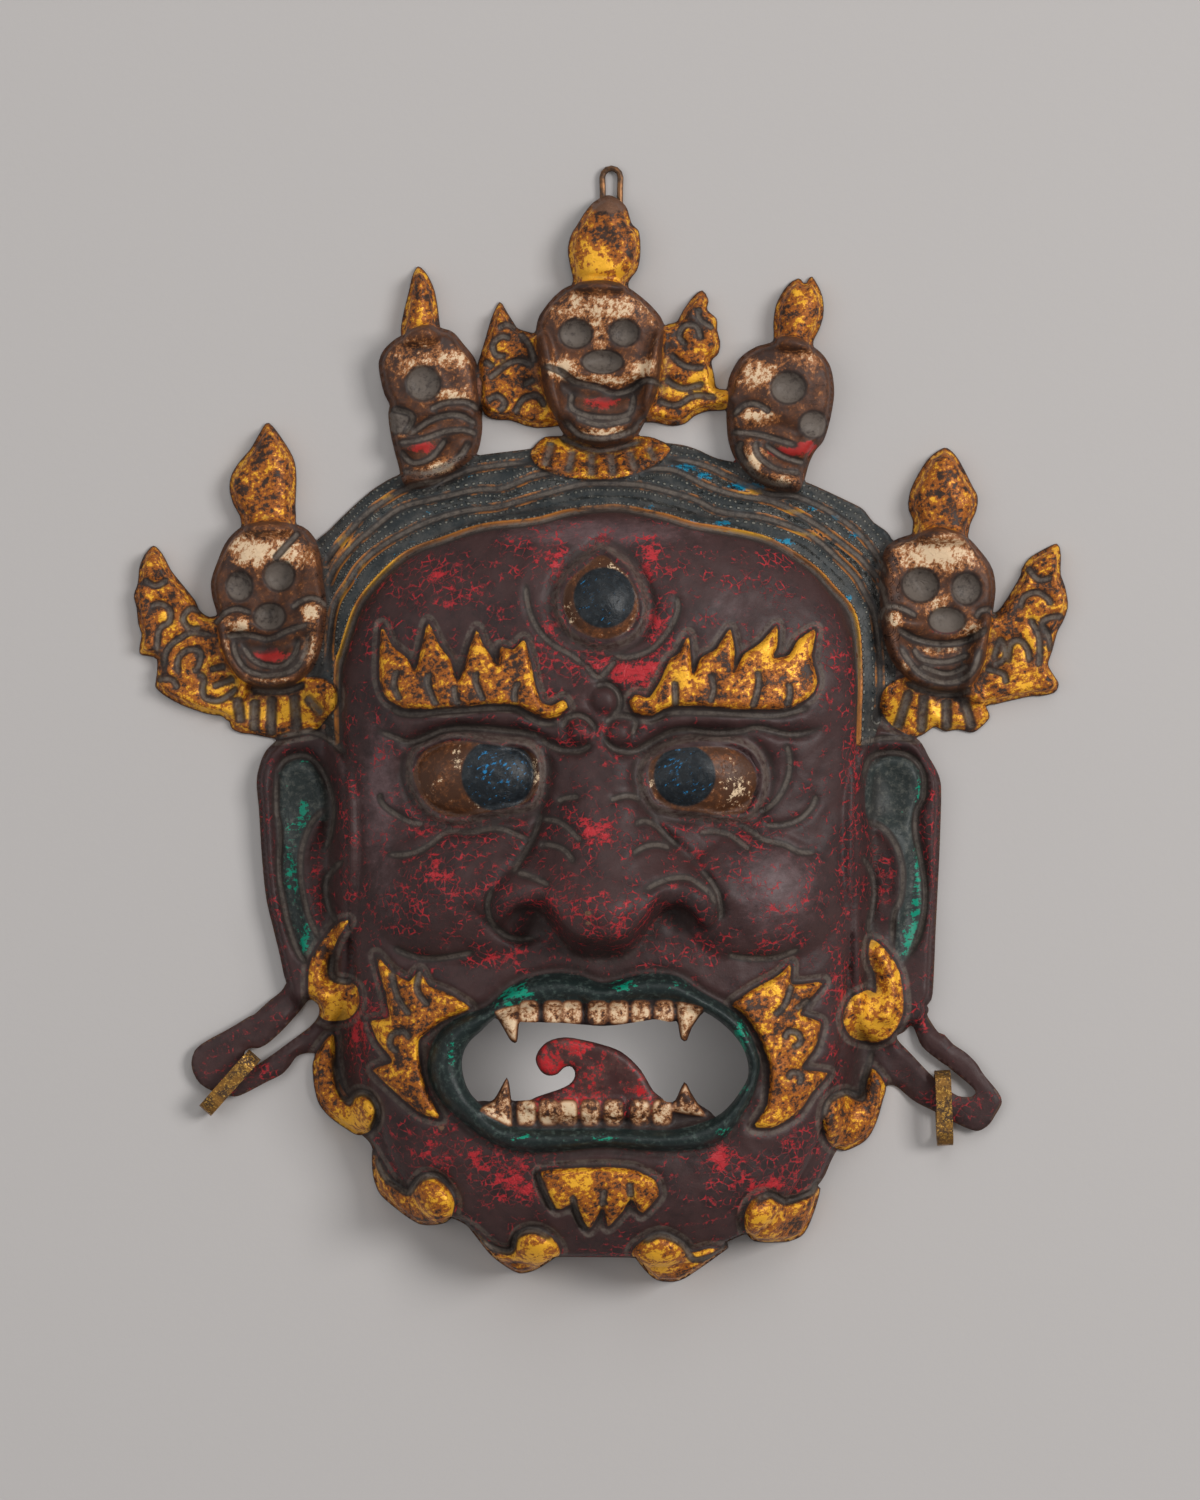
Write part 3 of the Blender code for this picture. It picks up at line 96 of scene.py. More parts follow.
def curve(points, closed=True, bend=1.0, pieces=6):
    """Points along a smooth line through the given ones; bend 0 gives straight runs.

    Each run is a cubic that leaves a point along half the step between its neighbours.
    """
    p = np.array(points, dtype=float)
    if closed:
        before, after, beyond = np.roll(p, 1, 0), np.roll(p, -1, 0), np.roll(p, -2, 0)
        start = p
    else:
        q = np.vstack([2 * p[0] - p[1], p, 2 * p[-1] - p[-2]])
        before, start, after, beyond = q[:-3], q[1:-2], q[2:-1], q[3:]
    leave = bend * (after - before) / 2
    arrive = bend * (beyond - start) / 2
    run = []
    for t in np.arange(pieces) / pieces:
        a, b = 2 * t ** 3 - 3 * t ** 2 + 1, t ** 3 - 2 * t ** 2 + t
        c, d = -2 * t ** 3 + 3 * t ** 2, t ** 3 - t ** 2
        run.append(a * start + b * leave + c * after + d * arrive)
    line = np.stack(run, axis=1).reshape(-1, 2)
    return line if closed else np.vstack([line, p[-1]])


def measure(line, x, y, closed):
    """Distance to the line, share of the way along it, and whether (x, y) is inside.

    The distance is the least over the line's runs; a point is inside where a ray to the
    right crosses the line an odd number of times.
    """
    end = np.roll(line, -1, 0) if closed else line[1:]
    start = line if closed else line[:-1]
    best = np.full(x.shape, 1e12)
    along = np.zeros(x.shape)
    inside = np.zeros(x.shape, dtype=bool)
    for i, ((ax, ay), (bx, by)) in enumerate(zip(start, end)):
        dx, dy = bx - ax, by - ay
        t = np.clip(((x - ax) * dx + (y - ay) * dy) / (dx * dx + dy * dy + 1e-12), 0, 1)
        gap = (x - ax - t * dx) ** 2 + (y - ay - t * dy) ** 2
        nearer = gap < best
        best = np.where(nearer, gap, best)
        along = np.where(nearer, i + t, along)
        if closed and ay != by:
            inside ^= ((ay > y) != (by > y)) & (x < ax + (y - ay) * dx / dy)
    return np.sqrt(best), along / len(start), inside


def boxed(line, x, y, margin):
    """Which points lie in the line's own box, grown by the margin."""
    low, high = line.min(0) - margin, line.max(0) + margin
    return (x > low[0]) & (x < high[0]) & (y > low[1]) & (y < high[1])


def inward(line, x, y, margin=12.0):
    """Depth inside a closed line, negative outside and never below -margin."""
    depth = np.full(x.shape, -margin)
    near = boxed(line, x, y, margin)
    gap, _, inside = measure(line, x[near], y[near], True)
    depth[near] = np.where(inside, gap, -np.minimum(gap, margin))
    return depth


# Plates of the sheet: closed outlines in drawing millimetres, (0, 0) between the eyes
HEAD = curve([
    (-93, 55), (-86.5, 62.3), (-81.3, 67.5), (-75.6, 72.7), (-71, 76.2), (-64.6, 79.6),
    (-50, 84), (-38, 86), (-22, 88), (0, 91), (22, 89.7), (30, 88), (38, 84.6), (52, 82),
    (65.8, 77.2), (72, 74.5), (79.8, 70.8), (83.8, 68.6), (87.1, 64.5), (93.2, 58.5),
    (95, 40), (93, 10), (86, -10), (84, -60), (86, -96), (88.5, -108), (85, -120),
    (74.5, -138), (69.9, -147), (58, -158), (43, -164.5), (28, -171), (8, -170.7),
    (-10.4, -170.5), (-28, -170), (-44.6, -159.4), (-60, -154), (-70, -145),
    (-73.4, -135), (-77, -130.4), (-84, -118), (-86, -96), (-84, -60), (-86, -10),
    (-94, 10), (-96, 36)])
EAR_LEFT = curve([
    (-88, -1), (-99, -2.6), (-106.6, -8), (-109.4, -14.2), (-110.1, -19.4), (-109.4, -27),
    (-108.8, -37), (-108.1, -46.3), (-106.9, -56.5), (-104.6, -66.2), (-102.7, -74),
    (-100.8, -82.2), (-97, -90), (-84, -97), (-78, -60), (-78, -20)])
EAR_RIGHT = curve([
    (86, -1), (100, -4), (105.1, -11), (108.2, -17), (108.8, -23), (108.3, -40),
    (107.7, -52.7), (107, -67), (106.4, -81.5), (105.8, -87.9), (104.3, -90), (104.2, -93),
    (95, -102), (82, -98), (78, -60), (78, -20)])
LOBE_LEFT = curve([
    (-97, -80), (-102.1, -85.4), (-106.3, -88.8), (-110.8, -92.9), (-112.5, -93.6),
    (-117.9, -96.9), (-126.3, -101.5), (-129.6, -104.2), (-130.8, -107.9),
    (-130.2, -111.5), (-128, -115), (-124, -117.4), (-119.6, -118.6), (-115.4, -118.8),
    (-106.7, -114.4), (-102.1, -112.1), (-99.6, -109.6), (-97.1, -106.3), (-93.3, -105.2),
    (-86, -105), (-84, -92)], bend=0.9)
LOBE_RIGHT = curve([
    (104.3, -90.5), (104.3, -93.1), (107.6, -98.4), (109.9, -99.4), (112.4, -102.3),
    (116.6, -105.1), (120.1, -108.6), (122.3, -112.1), (127.2, -118.1), (128, -121.3),
    (126.1, -124.8), (123.7, -128.3), (119.8, -130.1), (112.7, -127.3), (107.1, -124.1),
    (100.1, -120.6), (94.1, -115.8), (88, -114), (84, -98), (95, -88)], bend=0.9)
SLOT_LEFT = curve([
    (-93.3, -88.3), (-90.6, -89.8), (-90.2, -93), (-92.9, -96.7), (-98.3, -100.8),
    (-105.8, -106.3), (-109.5, -108.4), (-113, -107.5), (-113.6, -104.4), (-107.9, -103.1),
    (-102.1, -98.3), (-96.3, -91.9)])
SLOT_RIGHT = curve([
    (94.6, -100.5), (96.9, -98.6), (99.6, -96.6), (102.5, -103), (107.8, -107.5),
    (113.5, -111.8), (119.4, -117), (118.8, -119), (115.2, -119.2), (112, -117.7),
    (106.1, -112.8), (99.7, -106.1)])
# beard curls: ear, jaw and chin, on the left and then on the right
CURLS = [curve(points) for points in (
    [(-85.4, -99), (-90, -103.5), (-92.1, -108), (-92.1, -112.5), (-91.5, -117.2),
     (-90, -121.9), (-86.7, -125.8), (-82.8, -128.7), (-77.5, -131.6), (-73.2, -129.4),
     (-70.8, -124.3), (-72.6, -118.6), (-77, -117), (-80.5, -119.6), (-83, -116.5),
     (-84.5, -108)],
    [(-73, -135.5), (-73.1, -142.8), (-71.9, -147.9), (-69.4, -151.8), (-60.4, -158.8),
     (-55.3, -160.4), (-48.8, -159), (-46.3, -153.1), (-46.6, -149.2), (-50.3, -144.2),
     (-56, -142.3), (-61, -147.5), (-66, -145.5), (-70.4, -139)],
    [(-44.4, -157.9), (-40, -164), (-34.7, -170.4), (-27.7, -175.2), (-23.8, -175.6),
     (-19.4, -173.9), (-14.2, -170.1), (-12.8, -166), (-16.2, -161.3), (-21.3, -159.2),
     (-26, -161), (-28.2, -166.6), (-34, -165.4), (-40, -160)],
    [(86.2, -109.8), (91, -115.4), (90.1, -120.7), (88, -127.7), (85.2, -132.7),
     (81, -135.5), (76.8, -136.5), (72.3, -133.3), (70.2, -126), (71.8, -119.6),
     (77, -117), (81.5, -119), (84, -117)],
    [(69.7, -147.6), (69.2, -153), (65.5, -162.3), (61.3, -165.2), (56.3, -165.9),
     (49.3, -165.5), (46.4, -162.6), (45.1, -156.5), (47, -151), (51.5, -148.5),
     (57, -151.5), (63, -151.5)],
    [(41, -166.8), (37.3, -170.2), (29.6, -175.6), (26.1, -177.7), (22.5, -178.5),
     (16.9, -177.4), (11.6, -171.6), (9.7, -166.8), (14.3, -162.2), (19.5, -160.6),
     (25.4, -163.6), (28.8, -167), (34, -166)])]

CENTRE_SKULL = curve([
    (0, 141.3), (-9.5, 140.2), (-14, 137.5), (-18, 133), (-20.4, 128.5), (-20.8, 121),
    (-19.6, 113), (-18, 104), (-14, 96), (-10, 91), (0, 88), (10, 90.5), (14.5, 97.5),
    (18, 105), (19.4, 113), (20, 121), (20, 128), (17, 132.7), (12, 137.2), (7.5, 140)])
CENTRE_COLLAR = curve([
    (-14, 92), (-18.6, 91.4), (-22.6, 86.7), (-20, 81.6), (-11.5, 78.4), (1.3, 77.4),
    (11.1, 79.4), (18.3, 83), (22.3, 88), (15.5, 91.8), (0, 92)], bend=0.8)
CENTRE_FINIAL = curve([
    (2.8, 168.8), (-2, 166.8), (-5, 163.5), (-7.5, 159.5), (-9.6, 156), (-10.6, 151.5),
    (-10, 147), (-9, 142.5), (-8, 137), (7, 137), (9, 141.5), (11.6, 145), (12.6, 150),
    (12.2, 157), (9.8, 159.8), (7.8, 165.5)])
MID_LEFT_SKULL = curve([
    (-50.5, 126.4), (-47, 125), (-44, 121.5), (-41.5, 118.5), (-39.8, 115.5), (-38.6, 108),
    (-38, 99), (-38.2, 92), (-40.5, 85), (-48, 79), (-57, 74.6), (-63, 76.3), (-64.6, 82),
    (-66.2, 88), (-67.5, 94), (-68, 99), (-67.6, 102), (-69.3, 105.5), (-70.8, 112),
    (-71, 116), (-69.5, 119.5), (-66.6, 122.4), (-64, 124), (-57, 127)])
MID_LEFT_FINIAL = curve([
    (-58.5, 146.3), (-60.4, 143), (-61.5, 138), (-63, 132), (-64, 125), (-62, 120),
    (-52, 121), (-51.4, 126.5), (-51.7, 129), (-52.3, 134), (-53.5, 139.5),
    (-55.8, 144)], bend=0.9)
MID_RIGHT_SKULL = curve([
    (57, 123.5), (54, 121.8), (49.5, 120.5), (45, 117.5), (42.5, 114), (40.8, 110),
    (40.2, 104), (40.2, 96), (41, 89.5), (43.5, 83.5), (48, 78), (55, 74.2), (62, 73.4),
    (64.6, 76.5), (66.5, 83), (68.5, 87.2), (71.2, 90.5), (73, 96), (74.2, 102),
    (74.6, 107), (73.6, 113.6), (71, 118), (67.5, 120.8), (62, 123.3)])
MID_RIGHT_FINIAL = curve([
    (63.4, 142.5), (60.5, 141), (58, 138), (56, 134), (55.3, 130), (55.2, 126),
    (56.5, 119), (67, 118), (68, 122.5), (70, 126.5), (71.2, 131), (71, 136),
    (69.5, 140), (67.2, 143.2), (65.3, 140.6)], bend=0.85)
FAR_LEFT_SKULL = curve([
    (-106, 64.6), (-113, 63.6), (-116.3, 62), (-120, 58), (-122.6, 52), (-124.6, 46),
    (-124.4, 41), (-122.8, 35), (-121.8, 27.5), (-119.5, 20), (-114.5, 13.5), (-106, 10.5),
    (-98, 12), (-91.5, 17), (-88, 26), (-86.8, 36), (-88, 46), (-88.6, 52), (-91, 58.5),
    (-96, 63.4)])
FAR_LEFT_COLLAR = curve([
    (-113, 15), (-116.5, 9), (-118.6, 1.5), (-118, -1.6), (-115, -3), (-111.4, -3.4),
    (-104, -4.7), (-97, -3.6), (-91, -2.4), (-87, 2), (-83.6, 6), (-84, 11.5),
    (-89, 14.6), (-98, 15)], bend=0.8)
FAR_LEFT_FINIAL = curve([
    (-106.3, 96.3), (-109.4, 92.5), (-112, 88), (-115.8, 83.5), (-118.2, 79.5),
    (-118.8, 75), (-117.5, 70), (-115.5, 66.5), (-113, 60), (-99, 60), (-97.6, 65),
    (-97.7, 70), (-97.4, 78), (-98, 84), (-101, 89.7)], bend=0.9)
FAR_RIGHT_SKULL = curve([
    (108, 62.6), (101, 61), (94, 58.8), (90, 55), (88.8, 46), (88.4, 36), (89.6, 26.5),
    (93, 18.5), (98.4, 13.2), (105, 10.3), (112, 9.8), (118, 12.2), (122, 18.5),
    (123.6, 26), (124.6, 33), (125.7, 38), (126.2, 44), (125, 50), (121.4, 55.2),
    (116.5, 60)])
FAR_RIGHT_COLLAR = curve([
    (97, 15), (90, 11), (88.6, 5), (92, 0), (96.5, -3), (99.5, -4.2), (102.9, -3.6),
    (106.7, -1), (110, -2.5), (114.2, -1.9), (119.2, -2.8), (124.2, 1.7), (123.2, 5.4),
    (118.5, 13)], bend=0.7)
FAR_RIGHT_FINIAL = curve([
    (110.6, 88.2), (108, 87.4), (104.6, 84.6), (101, 79), (98.8, 74), (98.3, 69),
    (99.8, 65), (101, 58), (116.5, 57), (117.4, 60), (118.2, 64), (120, 68),
    (120.5, 72.5), (118.8, 76), (116.2, 81.2), (113.6, 85.6)])
CENTRE_LEFT_WING = curve([
    (-32.2, 135), (-34.1, 132), (-35.6, 128), (-37, 123), (-38.2, 119), (-39.2, 115),
    (-38.8, 108), (-38.4, 102), (-36.8, 98.6), (-33.6, 97.2), (-29, 97), (-24, 95.3),
    (-19, 94.6), (-12, 97), (-14, 112), (-17, 124), (-22, 125), (-26.5, 126.4),
    (-28.2, 128.8), (-30, 131.6)], bend=0.9)
CENTRE_RIGHT_WING = curve([
    (32.5, 138.6), (34.4, 135.5), (34, 132.4), (37, 129.5), (37.2, 125.6), (38.2, 122),
    (37.6, 118.4), (35.4, 116), (36.2, 111.5), (37, 107.5), (40.4, 106.6), (42.3, 103.5),
    (40, 100.4), (34, 99.9), (30, 98.4), (27, 96), (23, 95.2), (18, 96.2), (13, 98),
    (14, 112), (17, 124), (21, 127.6), (24.2, 128.6), (26.4, 132.4), (29.5, 136.6)],
    bend=0.9)
FAR_LEFT_WING = curve([
    (-143, 57), (-146, 54), (-147.6, 50), (-148.1, 45), (-149.4, 41), (-148.5, 37),
    (-148, 32), (-146.9, 28.6), (-147.6, 24.4), (-147.3, 22.1), (-144, 21.5),
    (-142, 20.5), (-142, 16), (-142.5, 11.8), (-139.7, 9.1), (-136.2, 7), (-132, 5.1),
    (-125.8, 3.1), (-121.3, 2.4), (-118, 1), (-112, 12), (-118, 24), (-121, 34),
    (-125.4, 34.2), (-128.3, 36.2), (-129.8, 39.4), (-132.6, 43), (-137.4, 49),
    (-140, 54)], bend=0.8)
FAR_RIGHT_WING = curve([
    (146, 57.6), (147.1, 54), (147, 48), (148.4, 44), (149.4, 37.8), (148, 33.1),
    (146, 29.4), (144.4, 23.5), (143, 19), (144.8, 15.6), (146.4, 12.8), (145.2, 10),
    (141, 8.9), (137.6, 8.8), (131, 7.4), (123.5, 6), (115, 9), (118, 26), (121, 34),
    (126.6, 35.8), (129.5, 39.5), (131.2, 42.2), (134, 47), (134.6, 49.6), (137, 53),
    (142, 56)], bend=0.8)
FINIALS = (CENTRE_FINIAL, MID_LEFT_FINIAL, MID_RIGHT_FINIAL, FAR_LEFT_FINIAL,
           FAR_RIGHT_FINIAL)
SKULLS = (CENTRE_SKULL, MID_LEFT_SKULL, MID_RIGHT_SKULL, FAR_LEFT_SKULL, FAR_RIGHT_SKULL)
COLLARS = (CENTRE_COLLAR, FAR_LEFT_COLLAR, FAR_RIGHT_COLLAR)
WINGS = (CENTRE_LEFT_WING, CENTRE_RIGHT_WING, FAR_LEFT_WING, FAR_RIGHT_WING)

# The mouth: an oval opening with teeth, four fangs and the curled tongue left standing in it
LIPS = curve([
    (-54.6, -110), (-53.8, -103), (-50.8, -97), (-44.6, -92.2), (-36, -89), (-29.5, -83.6),
    (-23, -80), (-15, -78.4), (-7, -79), (0.5, -81.4), (8, -79.8), (15, -78.4),
    (24, -79.4), (31, -84), (40, -89.2), (45.4, -94.6), (49.2, -103), (50, -108.5),
    (47.7, -117), (43.8, -124), (38.5, -130.6), (31, -133.9), (16, -134.3), (1, -133.2),
    (-14, -134.6), (-26, -134.6), (-36, -131), (-46.2, -123), (-51.5, -117.6)])
OPENING = curve([
    (-43.7, -107), (-42, -101), (-37.4, -96.4), (-32, -91.6), (-25, -88.8), (-12, -87.4),
    (0, -88), (12, -86.8), (24, -87.2), (33, -90.8), (40, -96), (44.9, -102.6),
    (46.4, -110), (43.9, -115.6), (39.4, -121.2), (34, -124.6), (22, -127.6), (0, -127),
    (-20, -127.2), (-31, -125.6), (-37.6, -120), (-42, -114.6)])
UPPER_TEETH = curve([
    (-31, -92), (-25.4, -93.6), (-12.3, -93.9), (-4.6, -94.6), (1.5, -94.9), (7.7, -94.2),
    (16.9, -92.8), (22.4, -93.6), (32, -91), (34, -80), (0, -78), (-34, -80)], bend=0.7)
LOWER_TEETH = curve([
    (-40, -119.5), (-33, -119), (-26, -118.6), (-10, -117.3), (0, -116.8), (10, -117.3),
    (20.5, -118.9), (30, -119.6), (36, -124), (38, -134), (0, -136), (-42, -132)], bend=0.7)
TONGUE = curve([
    (-24, -120.5), (-21.5, -118), (-16.9, -116.2), (-12.3, -114.6), (-9.2, -112.7),
    (-8.1, -110), (-9.2, -107.8), (-11.5, -108), (-13.8, -110.2), (-16.9, -110.5),
    (-19.2, -108.8), (-20.5, -105.4), (-19.2, -102.2), (-16.2, -99.6), (-11.5, -98.5),
    (-6.2, -99.2), (1.5, -101.1), (6.9, -103.4), (11.5, -107.6), (13.9, -111),
    (16.4, -115.4), (20, -119.5), (12, -124), (-16, -124)])
FANGS = [curve(points, bend=0.5) for points in (
    [(-33.5, -90), (-30.6, -95.8), (-28.4, -99.6), (-26.4, -100.4), (-25.9, -96),
     (-25.6, -88)],
    [(23.6, -87), (24.2, -94.6), (25, -99), (26.8, -99.9), (28.5, -95.6), (32.5, -89)],
    [(-38.5, -121.5), (-33.6, -118.2), (-30.9, -113.4), (-29.5, -111), (-28.7, -114),
     (-27.8, -127)],
    [(22, -122), (23.9, -117.4), (25.4, -113.8), (26.5, -112.4), (28, -115.4),
     (30.4, -119.4), (33.6, -124)])]

# The face: gold flames of brows, moustache and chin tuft, the three eyes and the ears
LEFT_BROW = curve([
    (-70, 18), (-69.6, 12.6), (-67.4, 7.6), (-62, 4.6), (-55.8, 4.3), (-46.6, 4.2),
    (-36.5, 5.8), (-26.4, 5.3), (-21.6, 3), (-17.3, 1.3), (-13.4, 1.8), (-10.2, 5),
    (-11.8, 7.6), (-15, 5.8), (-18.3, 6.4), (-20.4, 12), (-22, 20), (-24, 26.4),
    (-27.6, 23.2), (-31.6, 24), (-32.4, 18.6), (-34.4, 21.4), (-37, 25), (-38.9, 29.8),
    (-41.4, 23.4), (-43, 17.6), (-45, 13.4), (-47.1, 19.8), (-50.6, 24.6), (-54.4, 32),
    (-56.7, 23.2), (-58.4, 16.6), (-61.1, 20.8), (-65.6, 24.6), (-69.3, 31)], bend=0.6)
RIGHT_BROW = curve([
    (8.6, 6.8), (11, 9.2), (15, 8.2), (18.6, 13.6), (21.2, 19.8), (24.2, 22),
    (27.4, 27.8), (28.3, 21), (28.9, 15.2), (31.2, 20.6), (36, 23.4), (40.5, 29.8),
    (42.1, 23.1), (41.8, 16.4), (44.6, 21.6), (50, 25.4), (55.4, 31), (55.6, 24.4),
    (54.2, 20.8), (59, 21.6), (62, 26.4), (67.8, 29.8), (66.6, 21), (68.3, 13.8),
    (66.5, 9), (59.3, 4.5), (47.9, 4.2), (40.8, 4.2), (31, 5.3), (22, 5), (15.7, 2),
    (10.4, 3)], bend=0.6)
LEFT_MOUSTACHE = curve([
    (-71.2, -73), (-66, -78), (-60.5, -81), (-57, -77.6), (-54, -82.4), (-47.7, -84.8),
    (-40.6, -89.6), (-50.1, -94), (-57, -99.5), (-57, -106), (-54.6, -116),
    (-50.4, -124.6), (-57, -123), (-64, -117.4), (-72.4, -109.6), (-66, -106.6),
    (-70.6, -100.4), (-73, -94), (-66.8, -92)], bend=0.5)
RIGHT_MOUSTACHE = curve([
    (40.8, -88.4), (47, -83.8), (55.6, -79.2), (59.9, -75.4), (60.2, -82), (70.4, -81.4),
    (66, -87), (63, -91.6), (69.6, -94.4), (67.6, -102.4), (63.4, -108.6), (72.2, -110.6),
    (67, -116.4), (62, -123.5), (54, -127.5), (47.9, -127), (52.2, -120), (52.8, -108),
    (49.3, -98.2), (45, -92)], bend=0.5)
CHIN_TUFT = curve([
    (-19, -140.6), (-10, -139.6), (0, -139.2), (10, -139.9), (16.9, -143.4), (18.4, -148.4),
    (12.7, -154.6), (9.6, -149.6), (6.6, -154), (2.2, -158.8), (0.6, -152.4),
    (-3.8, -159.8), (-8.6, -151.4), (-13.8, -153.2), (-18.6, -146)], bend=0.5)
THIRD_EYE = curve([
    (0, 56.2), (-4.6, 53.1), (-9.4, 49.4), (-12.9, 45), (-14.6, 39.8), (-14.2, 34.4),
    (-11.4, 29.2), (-6.3, 25.2), (0.4, 23.3), (7.3, 25), (11.8, 28.2), (13.9, 32.4),
    (14.6, 37.5), (13.4, 42.8), (10.4, 48.7), (6, 53)])
LEFT_EYE = curve([
    (-60.8, -15), (-59.6, -9.4), (-55.8, -6), (-46.2, -2.8), (-34.1, -4.6), (-24, -5.4),
    (-19, -9.4), (-18, -17), (-20.6, -25.8), (-28, -28), (-36, -29.4), (-44.6, -31.6),
    (-52.6, -29.8), (-57.4, -25), (-60, -20)])
RIGHT_EYE = curve([
    (12, -17), (13.8, -11.4), (19.5, -6.9), (27, -4.6), (36, -4.3), (44, -5.4),
    (49.6, -9.4), (52.1, -16), (51.2, -23), (47.4, -29.2), (41, -30.8), (30, -29.4),
    (20.7, -28.2), (14.7, -24.8)])
FLAMES = (LEFT_BROW, RIGHT_BROW, LEFT_MOUSTACHE, RIGHT_MOUSTACHE, CHIN_TUFT)
LIDS = (THIRD_EYE, LEFT_EYE, RIGHT_EYE)

# Further borders of the paint
HAIRLINE = [
    (-83.1, 16.1), (-81.3, 23.6), (-77.3, 35.8), (-72.7, 42.7), (-64.6, 50.8), (-58.3, 54.8),
    (-49.6, 57.7), (-36.9, 61.7), (-20.8, 63.4), (-10.4, 66.3), (0, 67.8), (7.9, 67.6),
    (20.1, 64.9), (29.2, 62.1), (45.7, 59.4), (54.8, 56.6), (66.4, 49.3), (72.5, 43.2),
    (79.8, 33.5), (81.3, 15.8)]
FOREHEAD = curve([
    (-83.1, -10), *HAIRLINE, (81, -10), (84, -60), (84, -120), (60, -160), (0, -174),
    (-60, -160), (-84, -120), (-84, -60)])
# the ears' hollows and the leaves of hair before the ears
CONCHAS = [curve(points) for points in (
    [(-97.5, -10.8), (-92.4, -11.6), (-88.5, -17), (-86, -25), (-87, -31), (-92, -31.5),
     (-95, -37), (-96, -46), (-95.2, -56), (-93.4, -63), (-90.4, -69.4), (-95, -75),
     (-98.6, -66), (-101.4, -54), (-102.6, -40), (-103.4, -24), (-102.4, -14.5)],
    [(92.9, -9.8), (98.7, -11), (102.4, -16), (102.6, -23), (100.2, -29), (100.4, -36),
     (102.4, -45), (103.2, -56), (101, -68), (96.6, -76), (93.6, -72), (94, -60),
     (96.4, -49), (94.6, -40), (90, -33), (84.6, -30), (84, -18), (87, -11.4)])]
LEAVES = [curve(points, bend=0.9) for points in (
    [(-79.6, -62.4), (-84, -63.6), (-88.6, -68.8), (-92.4, -75), (-93.4, -82),
     (-92.6, -90.6), (-88, -94.6), (-81, -94.4), (-76.6, -89.6), (-77, -83.6), (-81.6, -81.4),
     (-84.6, -82), (-86, -77), (-84, -69.6)],
    [(86, -68.6), (90.4, -71.6), (94.8, -78), (96.4, -86), (96.2, -93), (92.6, -99.4),
     (86.6, -102), (79.4, -99.6), (76.6, -93.4), (79.4, -87), (85, -84.6), (87.4, -85.6),
     (87.2, -80.4), (85, -74.4)])]
# eyeballs, each with the middle and radius of its iris
EYEBALLS = [
    (curve([(-59, -14.7), (-57.9, -20.4), (-54.9, -25.5), (-50.3, -28.6), (-44.6, -29.6),
            (-33.8, -27.6), (-23.6, -25), (-19.5, -19.9), (-19.5, -14.2), (-21, -9.6),
            (-27, -7.4), (-36, -6.4), (-46, -5.4), (-54.6, -8)]), (-32.3, -16.2, 11.2)),
    (curve([(14.7, -17), (15.8, -11.5), (21.8, -8.3), (30.5, -7.2), (40.3, -7.7),
            (46.3, -11.5), (49, -17), (48, -22.4), (45.2, -27.9), (38.1, -29), (30, -27.9),
            (21.8, -26.8), (16.9, -23.5)]), (26.2, -16.4, 9.5)),
    (curve([(0.2, 53), (-5.4, 49.2), (-10.4, 44.4), (-12, 39.4), (-11.2, 34), (-7.6, 29),
            (0.4, 26.2), (7.4, 28), (11.2, 32.6), (12, 38), (10, 44), (5.2, 49.6)]),
     (1, 39.3, 9.4))]

# Chased lines; LINES below gives each group its depth and width
HAIR_LINES = [
    [(-88, 51), (-84.2, 56.5), (-80.2, 61.1), (-75.6, 66.3), (-71, 69.8), (-62.3, 75),
     (-50.2, 77.6), (-42.1, 80.8), (-32.3, 82.5), (-21.9, 83.4)],
    [(-86.6, 45), (-84.2, 50.2), (-78.5, 57.1), (-73.8, 61.1), (-64, 68.6), (-53.1, 71.5),
     (-39.8, 74.4), (-32.3, 74.7), (-26.5, 76.7), (-20.8, 79), (-12, 80.4)],
    [(-86.5, 18), (-86, 30), (-84.2, 38.6), (-80.2, 45), (-77.3, 49.6), (-72.7, 54.2),
     (-65.8, 58.8), (-55.4, 64), (-43.8, 67.5), (-32.3, 68.9), (-20.8, 72.1), (-6.9, 75.9),
     (0, 76.4), (10.4, 76.1), (17.1, 74.9), (29.8, 71.2), (37.8, 67.3), (52.4, 65.2),
     (64.6, 60.9), (69.4, 57.9), (75.5, 52.4), (80.4, 47.5), (83.4, 42.6), (87, 34),
     (88.6, 18), (88.4, 2)],
    [(21.3, 84.6), (31.7, 82.8), (42.6, 77.9), (53, 73.4), (62.1, 72.5), (73.1, 67.6),
     (82.2, 60.9), (88.3, 53), (91, 46)],
    [(14, 80.6), (18.3, 81.3), (24.4, 80.4), (34.1, 75.5), (43.8, 72.5), (54.8, 70.6),
     (67, 64.5), (78.6, 56), (84, 51.2), (89.5, 43.2), (91, 30)],
    [(-83.1, -6), *HAIRLINE, (81, -5)]]
